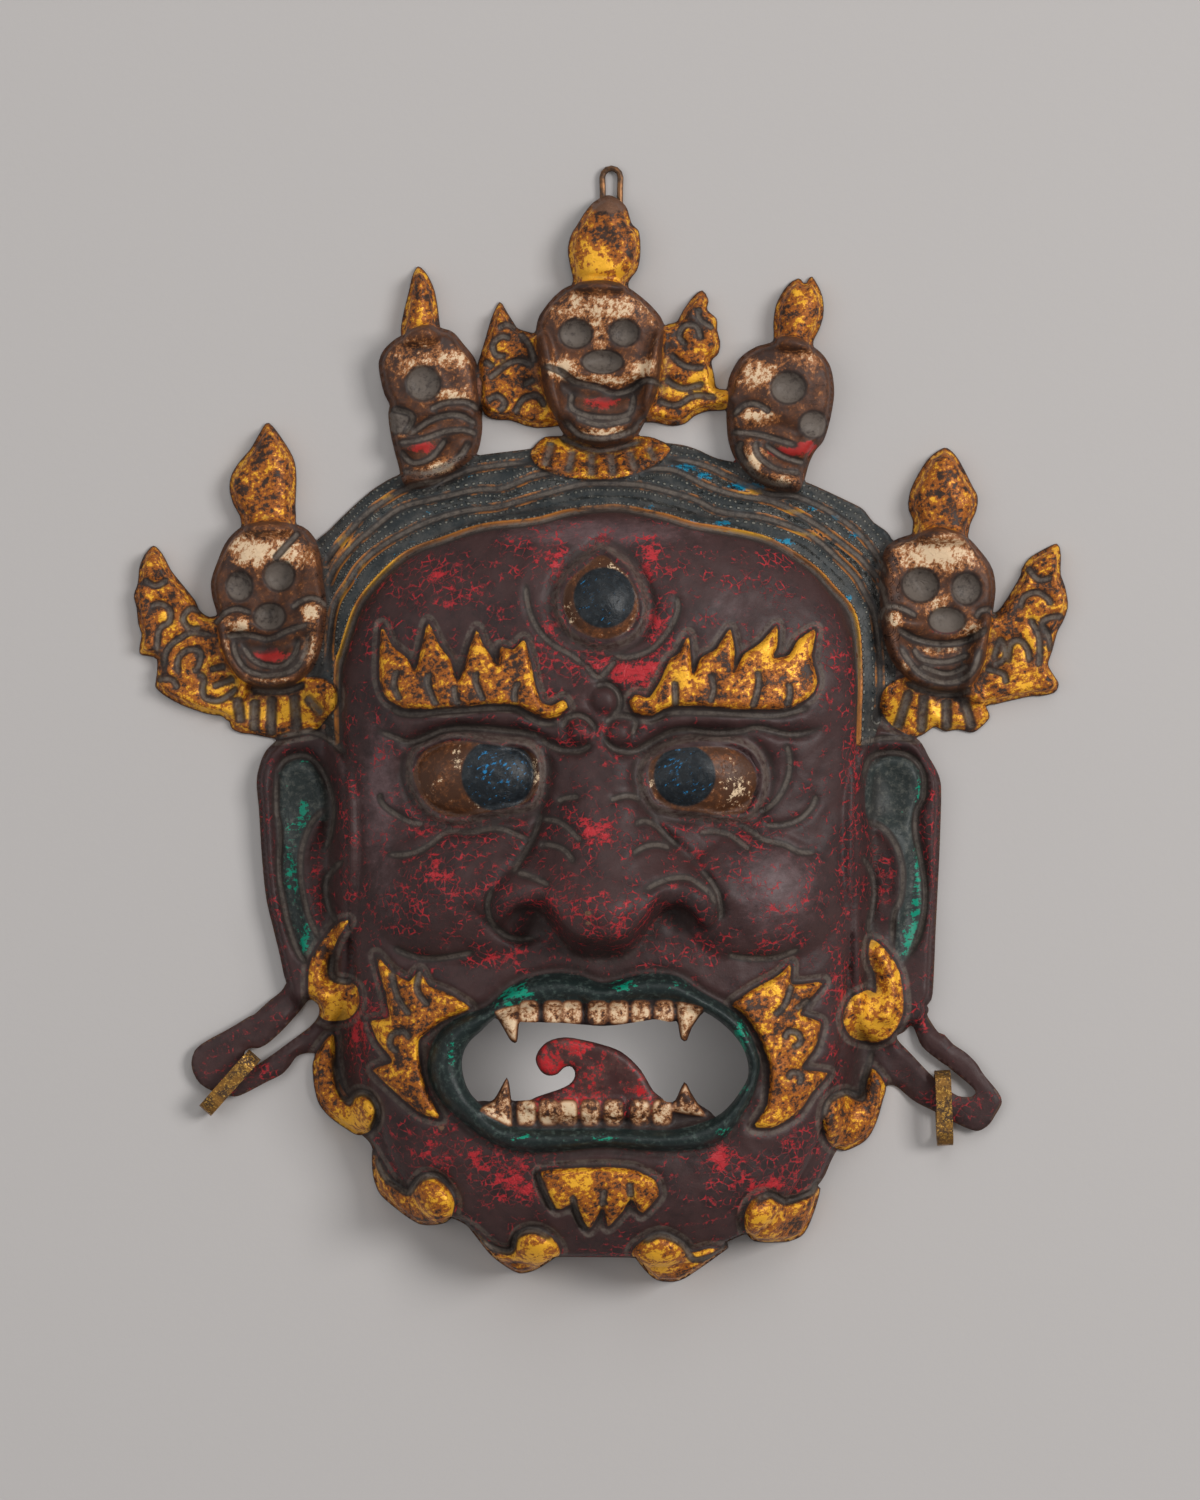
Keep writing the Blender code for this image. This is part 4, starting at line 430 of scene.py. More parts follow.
FACE_LINES = [
    # round the third eye and between the brows
    [(-23.6, 43.8), (-23.1, 38.1), (-21.3, 32.3), (-18.4, 27.7), (-14.4, 24.2), (-9.2, 21.3),
     (-4.3, 17.4)],
    [(23.8, 40.2), (24.1, 35.3), (21.3, 29.2), (15.8, 23.1), (9.1, 20.7), (3.6, 21.2)],
    [(-5, 18.2), (-0.6, 14.4), (4.8, 19.8)],
    [(-1.7, 11.7), (2.1, 12.2), (5.4, 9.5), (5.9, 5.1), (3.4, 1.6)],
    [(-12.5, -1.8), (-10.6, 1.5), (-7.2, 2.5), (-3.9, 1.1), (-1.4, -2.3)],
    [(-18.8, -4.7), (-15.9, -7.1), (-11.1, -8.6), (-6.3, -8.6), (-2.9, -6.6)],
    [(1, 0.2), (5.9, 2.4), (10.8, 0.8), (9.7, -4.1)],
    # brows and lids
    [(-66.3, 4.9), (-63, 3.2), (-57.2, 2.7), (-50, 3.7), (-41.3, 4.2), (-33.7, 4.7),
     (-26.9, 4.4), (-22.1, 1.5), (-18.3, -0.1), (-13, -0.4)],
    [(15, 0.6), (22.2, 3.2), (40.8, 2.9), (49.5, 2.4), (54.9, 2.4), (60.4, 3.5), (65.8, 5.1)],
    [(-70.2, -2.3), (-65.4, -4.2), (-60.1, -5.9), (-54.3, -4.2), (-50, -2.3), (-41.3, -1.4),
     (-31.7, -2), (-22.1, -3.3), (-19.7, -4.7)],
    [(0.4, -3.6), (3.2, -7.4), (7.5, -9), (11.3, -8.5), (16.8, -5.3), (22.2, -2.6),
     (27.7, -2), (35.9, -3.1), (44, -2.5), (49.5, -1.4), (60.4, -3.6), (69.7, -1.4)],
    [(-70, -21.9), (-68.7, -25.5), (-64.6, -28.6), (-59.5, -31.2), (-55.4, -31.7)],
    [(58.3, -6.1), (59.4, -11.5), (58.9, -17), (56.1, -23), (52.3, -26.8), (49.6, -27.9)],
    [(68.1, -22.4), (66.5, -26.3), (62.7, -30.1), (57.2, -32), (51.2, -32)],
    [(43.6, -31.7), (48, -34.4), (51.2, -36.6), (57.8, -38.2), (62.1, -40.4), (68.1, -40.7)],
    # the bridge's wrinkles
    [(-13.8, -24.7), (-11.3, -23.5), (-6.7, -22.9)],
    [(-18.5, -30.1), (-13.8, -30.6), (-10.3, -32.7), (-7.7, -35.3), (-5.9, -36.8)],
    [(-19.5, -38.1), (-15.4, -38.1), (-11.3, -39.6), (-8.2, -43.5)],
    [(-26.2, -46.5), (-22.6, -47.6), (-19, -49.1), (-15.9, -50.6)],
    [(2.7, -24.1), (8.2, -22.7), (12.5, -23.8)],
    [(10.4, -31.7), (13.6, -30.6), (17.4, -32.2), (20.7, -35.5), (24.5, -38.8)],
    [(9.8, -41), (13.1, -38.8), (17.4, -38), (21.8, -39.1)],
    [(13.1, -52.4), (18, -49.7), (23.4, -48.3), (27.8, -48.6), (31.1, -50.8), (34.3, -53.5),
     (36, -57.3)],
    [(-18.5, -28.1), (-20, -32.7), (-21.5, -36.3), (-24.6, -41.9), (-27.7, -47)],
    [(-33.8, -51.2), (-35.4, -56.3), (-34.9, -60.4), (-33.8, -62.9), (-30.8, -66),
     (-26.7, -67.6), (-20, -67.6)],
    [(31.4, -46), (34.4, -49.4), (36.7, -53.4), (37.6, -58), (37.4, -61.4)],
    # cheeks
    [(-67.7, -41.2), (-63.1, -41.4), (-57.9, -40.4), (-53.3, -37.8), (-48.2, -34.2),
     (-40, -34.2), (-35.4, -33.2), (-30.8, -33.2), (-25.6, -35.3), (-22.1, -36.8)],
    [(30.5, -34.4), (35.4, -33.9), (40.3, -35), (44.1, -37.7), (46.9, -39.9)],
    [(-65.6, -70.6), (-59.5, -73.2), (-52.8, -74), (-44.1, -72.7), (-40, -71.7)],
    [(39.8, -72.6), (45.2, -73.7), (54.5, -73.7), (62.7, -70.9)]]
EAR_LINES = [
    [(-103, -14.9), (-100.8, -11.7), (-96.3, -10.1), (-92.4, -11), (-89.2, -14.9),
     (-86.7, -20), (-85.4, -25.1), (-85.4, -30.9), (-86.7, -36.7), (-88.3, -40.5)],
    [(-103.3, -14), (-103.7, -27.1), (-102.4, -34.7), (-102.7, -48), (-100.8, -59.7),
     (-98.8, -67.4), (-96.3, -73.2), (-93.7, -76.7)],
    [(-87.9, -27.1), (-91.8, -30.9), (-94.4, -36.7), (-95.6, -42.4), (-95.6, -49.5),
     (-94.4, -56.5), (-92.4, -62.9), (-89.2, -69.4)],
    [(-81.5, -43.1), (-86.7, -48.2), (-87.9, -52.7), (-86.7, -58.5), (-83.8, -63.6)],
    [(-104, -4.6), (-96.3, -3), (-91.8, -2.7), (-86, -5.3), (-81.5, -9.7)],
    [(-85.4, -73.2), (-86, -79.6), (-83.5, -81.5), (-79, -81.9)],
    [(83.3, -20.6), (84, -14.2), (86.5, -10.4), (92.9, -9.1), (98.7, -10.4), (102.6, -14.9),
     (103.2, -20.6), (102.6, -24.5), (100.6, -28.3), (100.3, -34.7), (101.9, -42.4),
     (103.2, -49.5), (103.5, -56.5), (102.6, -62.9), (100.6, -69.4), (96.8, -76.4)],
    [(84.6, -30.9), (89.1, -32.8), (92.3, -36), (94.9, -41.2), (96.2, -48.2), (95.5, -55.9),
     (93.6, -59.7), (92.9, -64.2), (92.9, -71.9)],
    [(82.7, -41.8), (85.9, -46.9), (87.2, -52.7), (86.5, -59.1), (85.3, -64.2),
     (85.6, -66.8)],
    [(82.1, -6.5), (86.5, -5.3), (91, -4.6), (100.6, -4.9)]]
SKULL_LINES = [
    # centre
    [(-19, 113.6), (-13, 112), (-8, 108.6), (-1, 107), (4, 105.2), (9, 106), (14, 109),
     (20, 107.6)],
    [(-12, 97), (-6, 91.5), (2, 90.6), (10, 93.5), (14.5, 98)],
    [(-8, 97.5), (0, 95), (10, 97)],
    [(-9, 106), (-9, 100), (0, 97.4), (9, 98.6), (10.5, 105.6)],
    [(-13, 92.4), (-10, 90), (0, 87), (14, 90.4)],
    # left of the centre
    [(-67, 100.5), (-60, 98), (-62.5, 92)],
    [(-54.5, 99.8), (-50, 101.8), (-43, 102.3), (-39, 100)],
    [(-61.5, 91.5), (-53, 97.2), (-45, 98.2), (-39.5, 95)],
    [(-65, 89.3), (-57, 90.5), (-49.5, 93), (-43, 93.4), (-39.5, 92)],
    [(-64, 87), (-60, 83), (-54, 84.6), (-49, 91)],
    [(-41.5, 90), (-46, 84), (-55, 79.5), (-64, 80.5)],
    # right of the centre
    [(42, 98), (46, 101.5), (50, 101.5), (54, 99)],
    [(41.5, 93), (52, 91.6), (62.5, 88.4)],
    [(52, 89), (58, 85), (65, 83)],
    [(45, 90), (44, 87), (48, 80), (54, 76.6), (61, 75.2)],
    [(49, 90), (50, 85.4), (56, 80.6), (64, 79.6)],
    # far left
    [(-96, 61), (-104, 52)],
    [(-123.1, 31.5), (-120.4, 34.7), (-115.9, 36.5), (-111, 35.1)],
    [(-98.4, 36.5), (-94.4, 39.2), (-90.4, 39.6), (-86.8, 36.9)],
    [(-120, 27.6), (-113.2, 28.3), (-105.6, 27), (-99, 29.6), (-92, 31.6)],
    [(-114.6, 25.3), (-110.5, 20.2), (-105, 18.2), (-100.7, 18.4), (-97.1, 21.7),
     (-95.7, 27.1)],
    [(-116.8, 27.1), (-116.4, 22.6), (-113.2, 17.6), (-107.8, 15.4), (-100.7, 15.9),
     (-96.2, 18.1), (-93.5, 23.5), (-92.6, 29.8)],
    [(-112, 10.8), (-105.2, 10.2), (-99.3, 10.6), (-94, 12.6)],
    # far right
    [(119.2, 33.3), (120.8, 35.8), (124.2, 36.3), (126.3, 33.8)],
    [(88.8, 32.5), (89.6, 35.8), (92.9, 37.1), (97.1, 35.8), (100.4, 33.8)],
    [(93, 30.4), (101, 26.6), (110, 25.4), (118, 27), (123, 30.6)],
    [(99, 24), (102.1, 20.4), (110, 19.6), (117.5, 22.1)],
    [(101, 18.3), (110, 15.8), (117, 18.4)],
    [(94.6, 25), (97.5, 20), (101.7, 15.6), (108.3, 13.1), (114.2, 13.8), (118.3, 17.3),
     (120.6, 24.6)],
    [(97, 13), (103.3, 10.6), (109.2, 9.4), (114.2, 9.4), (118, 11)]]
GOLD_LINES = [
    # brows
    [(-53.8, 16), (-54.3, 12.6), (-52.9, 8.3), (-51.4, 5.4)],
    [(-38.9, 16.4), (-39.2, 13.1), (-38, 9.7), (-36.5, 6.8)],
    [(-25.5, 13.1), (-26.9, 10.2), (-26.9, 6.3)],
    [(-64, 17), (-65, 12), (-63, 7)], [(-46, 12), (-45.6, 8), (-44, 5.6)],
    [(23.1, 13.3), (23.3, 8.4), (23.3, 5.1)],
    [(34.5, 15.5), (35.3, 10.6), (34, 6.2)],
    [(49, 16.6), (49.5, 12.8), (48.4, 7.8), (47.3, 4.6)],
    [(58.8, 12.8), (59.3, 9.5), (58.2, 5.1)],
    # beard curls
    [(-85.4, -106), (-84.1, -113.3), (-82.8, -117.8), (-80.3, -120.7), (-79, -118.5),
     (-75.8, -117.2), (-72.6, -118.5), (-70.6, -122.3), (-71.3, -126.2), (-73.2, -129.4)],
    [(-71, -138), (-70.6, -140.9), (-68.1, -144.7), (-64.2, -147.3), (-61, -148.6),
     (-57.6, -144), (-52, -142.6), (-47.6, -146)],
    [(-44, -158), (-40.5, -161.4), (-36.7, -164.6), (-32.2, -166.5), (-28.4, -166.6),
     (-26.6, -161.6), (-21, -159.6), (-15.6, -162.4)],
    [(86.6, -104), (85.6, -109.4), (83.8, -115.1), (83.4, -119.6), (78, -117.4),
     (72.4, -119.6), (70.6, -125)],
    [(69, -146), (67.6, -148.9), (63.4, -150.6), (58.6, -151.6), (54, -149), (48.4, -150.4)],
    [(40, -166), (34.5, -168.9), (29.2, -169.6), (25.8, -164.4), (19, -161.2), (13, -163.6)],
    # chin
    [(-20.6, -140.9), (-18.7, -144.7), (-16.8, -149.9), (-14.9, -153.1)],
    [(-9.1, -148), (-7.2, -155.6), (-4.6, -160.1)], [(1, -146), (0.4, -152)],
    [(9, -144), (9.4, -149)],
    # moustache
    [(-60, -99.5), (-62, -97), (-65.6, -98), (-66.4, -101.4), (-63.6, -104)],
    [(-57, -77.6), (-57.6, -84), (-54, -89)], [(-66, -78), (-64, -86), (-60, -92)],
    [(57.6, -99.5), (59, -97), (62, -97.6), (62.8, -100.4), (60, -102.2)],
    [(58.6, -112), (60.4, -109.8), (63, -111), (62.4, -114)],
    [(60, -82), (58, -88), (54.4, -92)], [(66, -87), (61, -90)],
    # wings beside the centre skull
    [(-33, 126), (-30, 127.4), (-27, 126)],
    [(-28.6, 122.6), (-31.6, 123.6), (-34.4, 121), (-33.4, 117.6), (-30, 117.2)],
    [(-36, 110), (-34, 111.4), (-30, 114.6), (-26, 115.8), (-21.6, 114)],
    [(-26, 125), (-22.6, 120), (-21.4, 115)],
    [(-36.4, 103), (-33, 104.6), (-30.6, 102), (-32.6, 99.4)],
    [(-27.6, 98.6), (-25, 103.4), (-20.6, 104.6), (-17.6, 101)],
    [(-37.6, 116), (-34, 113.6)], [(-25, 108), (-21, 110)],
    [(32, 122), (30.6, 126.6), (26.8, 127), (25, 123.6), (27.6, 120.4)],
    [(31, 133), (31.6, 129), (36, 126)],
    [(22, 118), (27, 114), (33, 113.6)], [(20.4, 110), (26, 107), (33, 108.4)],
    [(18, 103), (24, 101.6), (30, 104.6), (37, 104)],
    # far wings
    [(-144, 37), (-141, 38.3), (-137.6, 36.4), (-137.6, 32.6), (-141, 29.8),
     (-141.7, 21.7)],
    [(-127.4, 35.6), (-130.8, 36.7), (-133.3, 33.6), (-131, 30.2), (-127.4, 30.6)],
    [(-123.1, 28), (-130.3, 29.1), (-133.9, 27.5), (-137, 25.3), (-138.8, 22.6),
     (-139.7, 17.2)],
    [(-134.8, 15.4), (-135, 19.9), (-133.4, 22.6), (-130.7, 23.7), (-127.6, 22.6),
     (-128.5, 18.1), (-130.3, 16.3)],
    [(-141.9, 14.1), (-137, 14.1), (-134.8, 10.9)],
    [(-128.9, 15.9), (-126.7, 14.5), (-127.1, 10.9), (-126.2, 8.2), (-122.2, 7.3),
     (-118.6, 9.1), (-115.9, 11.8)],
    [(-124.9, 17.2), (-119.5, 18.5)], [(-124, 11.8), (-116.8, 14.5)],
    [(-146, 46), (-142, 44), (-138, 46)],
    [(133.8, 36.3), (135, 40.4), (139.2, 41.9), (142.9, 39.6), (143.3, 37.5)],
    [(136.7, 33.8), (139.6, 28.3), (140, 23.3), (139.6, 17.9)],
    [(148, 34.2), (143.3, 33.8), (140.8, 32.1), (142.9, 27.5), (143.8, 22.9)],
    [(130, 19.2), (130.4, 24.2), (131.7, 26.3), (134.2, 26.3), (136.3, 23.3), (136.7, 19.2)],
    [(125, 19.6), (127.5, 26.7), (129.2, 21.7), (126.7, 19.2), (125, 19.6)],
    [(122.5, 17.5), (126.3, 16.7), (128.8, 15.4), (129.2, 12.5)],
    [(136, 50), (139.6, 46), (144, 46.6)]]
COLLAR_LINES = [
    [(-110.5, 8), (-110.8, -2.6)], [(-105, 9), (-105.4, -4)], [(-97.8, 9.4), (-97, -3)],
    [(-93.9, 8.7), (-88.6, 2.8)], [(-116, 8.6), (-115, 0)],
    [(98.4, 11), (95.4, 1), (94.6, -1.6)], [(103, 9.4), (102.4, -3)],
    [(110.4, 8), (110.4, -2)], [(115.6, 8.6), (118.6, -2)],
    [(-15.6, 90), (-18, 81.6)], [(-9, 87.4), (-10.4, 79.4)], [(-3, 86.4), (-3, 78.4)],
    [(3, 86.2), (4, 78.4)], [(9, 87), (11, 80)], [(15, 88.6), (17.6, 83.4)]]

# Teeth: centres along the upper and the lower row, and the half width and height of each
# as raised and as painted, the painted one a little smaller
UPPER_ROW = (-22.6, -15, -9, -1, 5.6, 12.5, 19.8)
LOWER_ROW = (-23.4, -16.4, -10.4, -3.3, 3.9, 12.3, 19.2)
RAISED_TEETH = ((UPPER_ROW, -90.8, 3.7, 4.3), (LOWER_ROW, -122.2, 3.7, 4.7))
PAINTED_TEETH = ((UPPER_ROW, -90.6, 3.4, 4.2), (LOWER_ROW, -122.2, 3.4, 4.6))


def outline(x, y):
    """Depth inside the sheet's outer edge: every plate joined, the lobe slots cut out."""
    plates = (HEAD, EAR_LEFT, EAR_RIGHT, LOBE_LEFT, LOBE_RIGHT, *CURLS,
              *FINIALS, *SKULLS, *COLLARS, *WINGS)
    depth = inward(plates[0], x, y)
    for plate in plates[1:]:
        depth = np.maximum(depth, inward(plate, x, y))
    for slot in (SLOT_LEFT, SLOT_RIGHT):
        depth = np.minimum(depth, -inward(slot, x, y))
    for end in RING_SEATS:
        depth = np.minimum(depth, np.hypot(x - end[0], y - end[1]) - RING_ROOM)
    return depth


def mouth(x, y):
    """Depth inside the mouth's opening, what stands in it left out."""
    depth = inward(OPENING, x, y)
    for part in (UPPER_TEETH, LOWER_TEETH, TONGUE, *FANGS):
        depth = np.minimum(depth, -inward(part, x, y))
    return depth


class Relief:
    """A height above the rim at each (x, y), worked like sheet metal: raised and chased."""

    def __init__(self, x, y):
        self.x, self.y, self.z = x, y, np.zeros(x.shape)

    def plate(self, line, rise, shoulder=2.5, puff=0.0, reach=10.0, trench=0.0, width=1.4):
        """Raise what is inside the line over a shoulder, puff it, and chase a line round it.

        An eased step, plus a parabola up to reach, less a bell curve just outside.
        """
        depth = inward(line, self.x, self.y)
        self.z += rise * ease(depth / shoulder + 0.25)
        self.z += puff * (1 - (1 - np.clip(depth / reach, 0, 1)) ** 2)
        self.z -= trench * np.exp(-((depth + 0.6 * width) / width) ** 2)

    def stroke(self, points, depth, width, ends=0.15):
        """Chase a line that thins towards its ends; a negative depth raises a rib.

        A bell curve of the distance from the line.
        """
        line = curve(points, closed=False)
        near = boxed(line, self.x, self.y, 3 * width)
        gap, along, _ = measure(line, self.x[near], self.y[near], False)
        thin = ease(along / ends + 0.3) * ease((1 - along) / ends + 0.3)
        self.z[near] -= depth * thin * np.exp(-(gap / width) ** 2)

    def ball(self, cx, cy, rx, ry, rise, tilt=0.0, power=1.0):
        """Push up a round boss; a negative rise sinks a bowl.

        A power of 1 - u squared - v squared, where u and v are 1 on the tilted ellipse.
        """
        c, s = np.cos(np.radians(tilt)), np.sin(np.radians(tilt))
        dx, dy = self.x - cx, self.y - cy
        u, v = (dx * c + dy * s) / rx, (dy * c - dx * s) / ry
        self.z += rise * np.clip(1 - u * u - v * v, 0, 1) ** power

    def mound(self, cx, cy, rx, ry, rise):
        """A soft swelling without an edge: a bell curve along x and y."""
        self.z += rise * np.exp(-((self.x - cx) / rx) ** 2 - ((self.y - cy) / ry) ** 2)


def roundness(x, y):
    """1 on the line where the face meets the hair and the ears, less inside the face.

    The sum of the powers of |x| / wide and |y| / tall, brought back by the root; wide and
    the power change smoothly from the jaw to the forehead.
    """
    up = ease((y + 30) / 60)
    wide, power = 80 + 3 * up, 3.4 - 0.9 * up
    tall = np.where(y > 0, 68.0, 172.0)
    return (np.abs(x / wide) ** power + np.abs(y / tall) ** power) ** (1 / power)


def base(x, y):
    """The large forms: the domed face, the hair bands falling away, the ear roots.

    The dome is the root of 1 - r to the power 2.3, the hair a power of the way out to its
    edge, and the ear roots are eased steps.
    """
    r = roundness(x, y)
    wall = drawn(HAIR_DEPTH)
    dome = drawn(FACE_DEPTH) - wall
    face = wall + dome * np.sqrt(np.clip(1 - np.clip(r, 0, 1) ** 2.3, 0, 1))
    hair = wall * np.clip((1.31 - r) / 0.31, 0, 1) ** 0.85
    skirt = wall * ease(1 - (r - 1) / 0.10)
    low = ease((y + 4) / 18)
    outside = hair * low + (skirt * 0.85 + ease((1.6 - r) / 0.25)) * (1 - low)
    return np.where(r < 1, face, outside)


def squares(teeth, x, y):
    """For each tooth in turn, how far out a point is, 1 on its rounded square.

    The fourth powers of its shares of the half width and half height, summed.
    """
    for row, level, half, tall in teeth:
        for middle in row:
            yield ((x - middle) / half) ** 4 + ((y - level) / tall) ** 4


def front_skull(r, bowls, cx, cy, mouth_y, left, right, drop):
    """A skull seen from the front: eye bowls, nose hollow, cheekbones and jaw."""
    for ex, ey, rx, ry in bowls[:2]:
        r.ball(ex, ey, rx + 1.2, ry + 1.2, 1.2)
        r.ball(ex, ey, rx, ry, -4.6, power=0.5)
    r.ball(*bowls[2], -4.0, power=0.6)
    r.stroke([(left, mouth_y + 5), (cx - 6, mouth_y + 0.5), (cx, mouth_y - 0.6),
              (cx + 6, mouth_y + 0.5), (right, mouth_y + 5)], 2.4, 2.6)
    r.stroke([(left + 1, mouth_y - 1), (cx - 7, drop + 2.4), (cx, drop),
              (cx + 7, drop + 2.4), (right - 1, mouth_y - 1)], -1.6, 2.2)
    r.mound(cx - 9, mouth_y + 7.6, 7, 2.8, 2.4)
    r.mound(cx + 9, mouth_y + 7.6, 7, 2.8, 2.4)
    r.mound(cx, mouth_y + 7, 3, 3, 1.2)
    r.mound(cx, cy + 11, 12, 8, 2.0)


def side_skull(r, eye, nose, mirror):
    """A skull turned to the side: one eye bowl, the nose hollow, the mouth and the jaw."""
    ex, ey, rx, ry = eye
    r.ball(ex, ey, rx + 1.4, ry + 1.4, 1.2)
    r.ball(ex, ey, rx, ry, -4.2, power=0.6)
    r.ball(*nose, -2.6, power=0.7)
    for points, depth, width in (([(-5, -15), (3, -12.4), (15, -13)], 2.2, 2.4),
                                 ([(14, -16), (9, -24), (0, -28.6), (-7, -29)], -1.8, 2.4),
                                 ([(8, -16), (-1, -22.4), (-8, -24)], 2.0, 2.6)):
        r.stroke([(ex + mirror * px, ey + py) for px, py in points], depth, width)


# The skulls' bowls, each a centre and half sizes. Three skulls are seen from the front:
# eyes and nose, middle of the brow, height of the mouth, the jaw's left, right and foot
FRONT_SKULLS = (
    (((-8, 124, 5.3, 4.7), (7.4, 124.3, 4.8, 4.4), (0.5, 115, 6.7, 3.9)),
     0.5, 124, 104, -14, 14, 94),
    (((-115, 43.7, 4.3, 4.9), (-102.3, 47, 5, 4.9), (-105.3, 34, 5.2, 4.4)),
     -105.5, 44, 24, -118, -93, 14),
    (((101.5, 44, 6, 5.5), (116.3, 42.9, 4.8, 5.2), (110, 32.8, 6, 4.2)),
     109, 44, 24, 93, 121, 12.8))
# and two are turned: eye, nose, and 1 or -1 for the way they face
SIDE_SKULLS = (
    ((-56.5, 108.2, 5.6, 5.6), (-64.5, 96.6, 4.6, 4.4), 1),
    ((59.6, 106.8, 5.7, 5.2), (67.6, 95.2, 4.6, 4.4), -1))
SOCKETS = [bowl for bowls, *_ in FRONT_SKULLS for bowl in bowls]
SOCKETS += [bowl for *bowls, _ in SIDE_SKULLS for bowl in bowls]

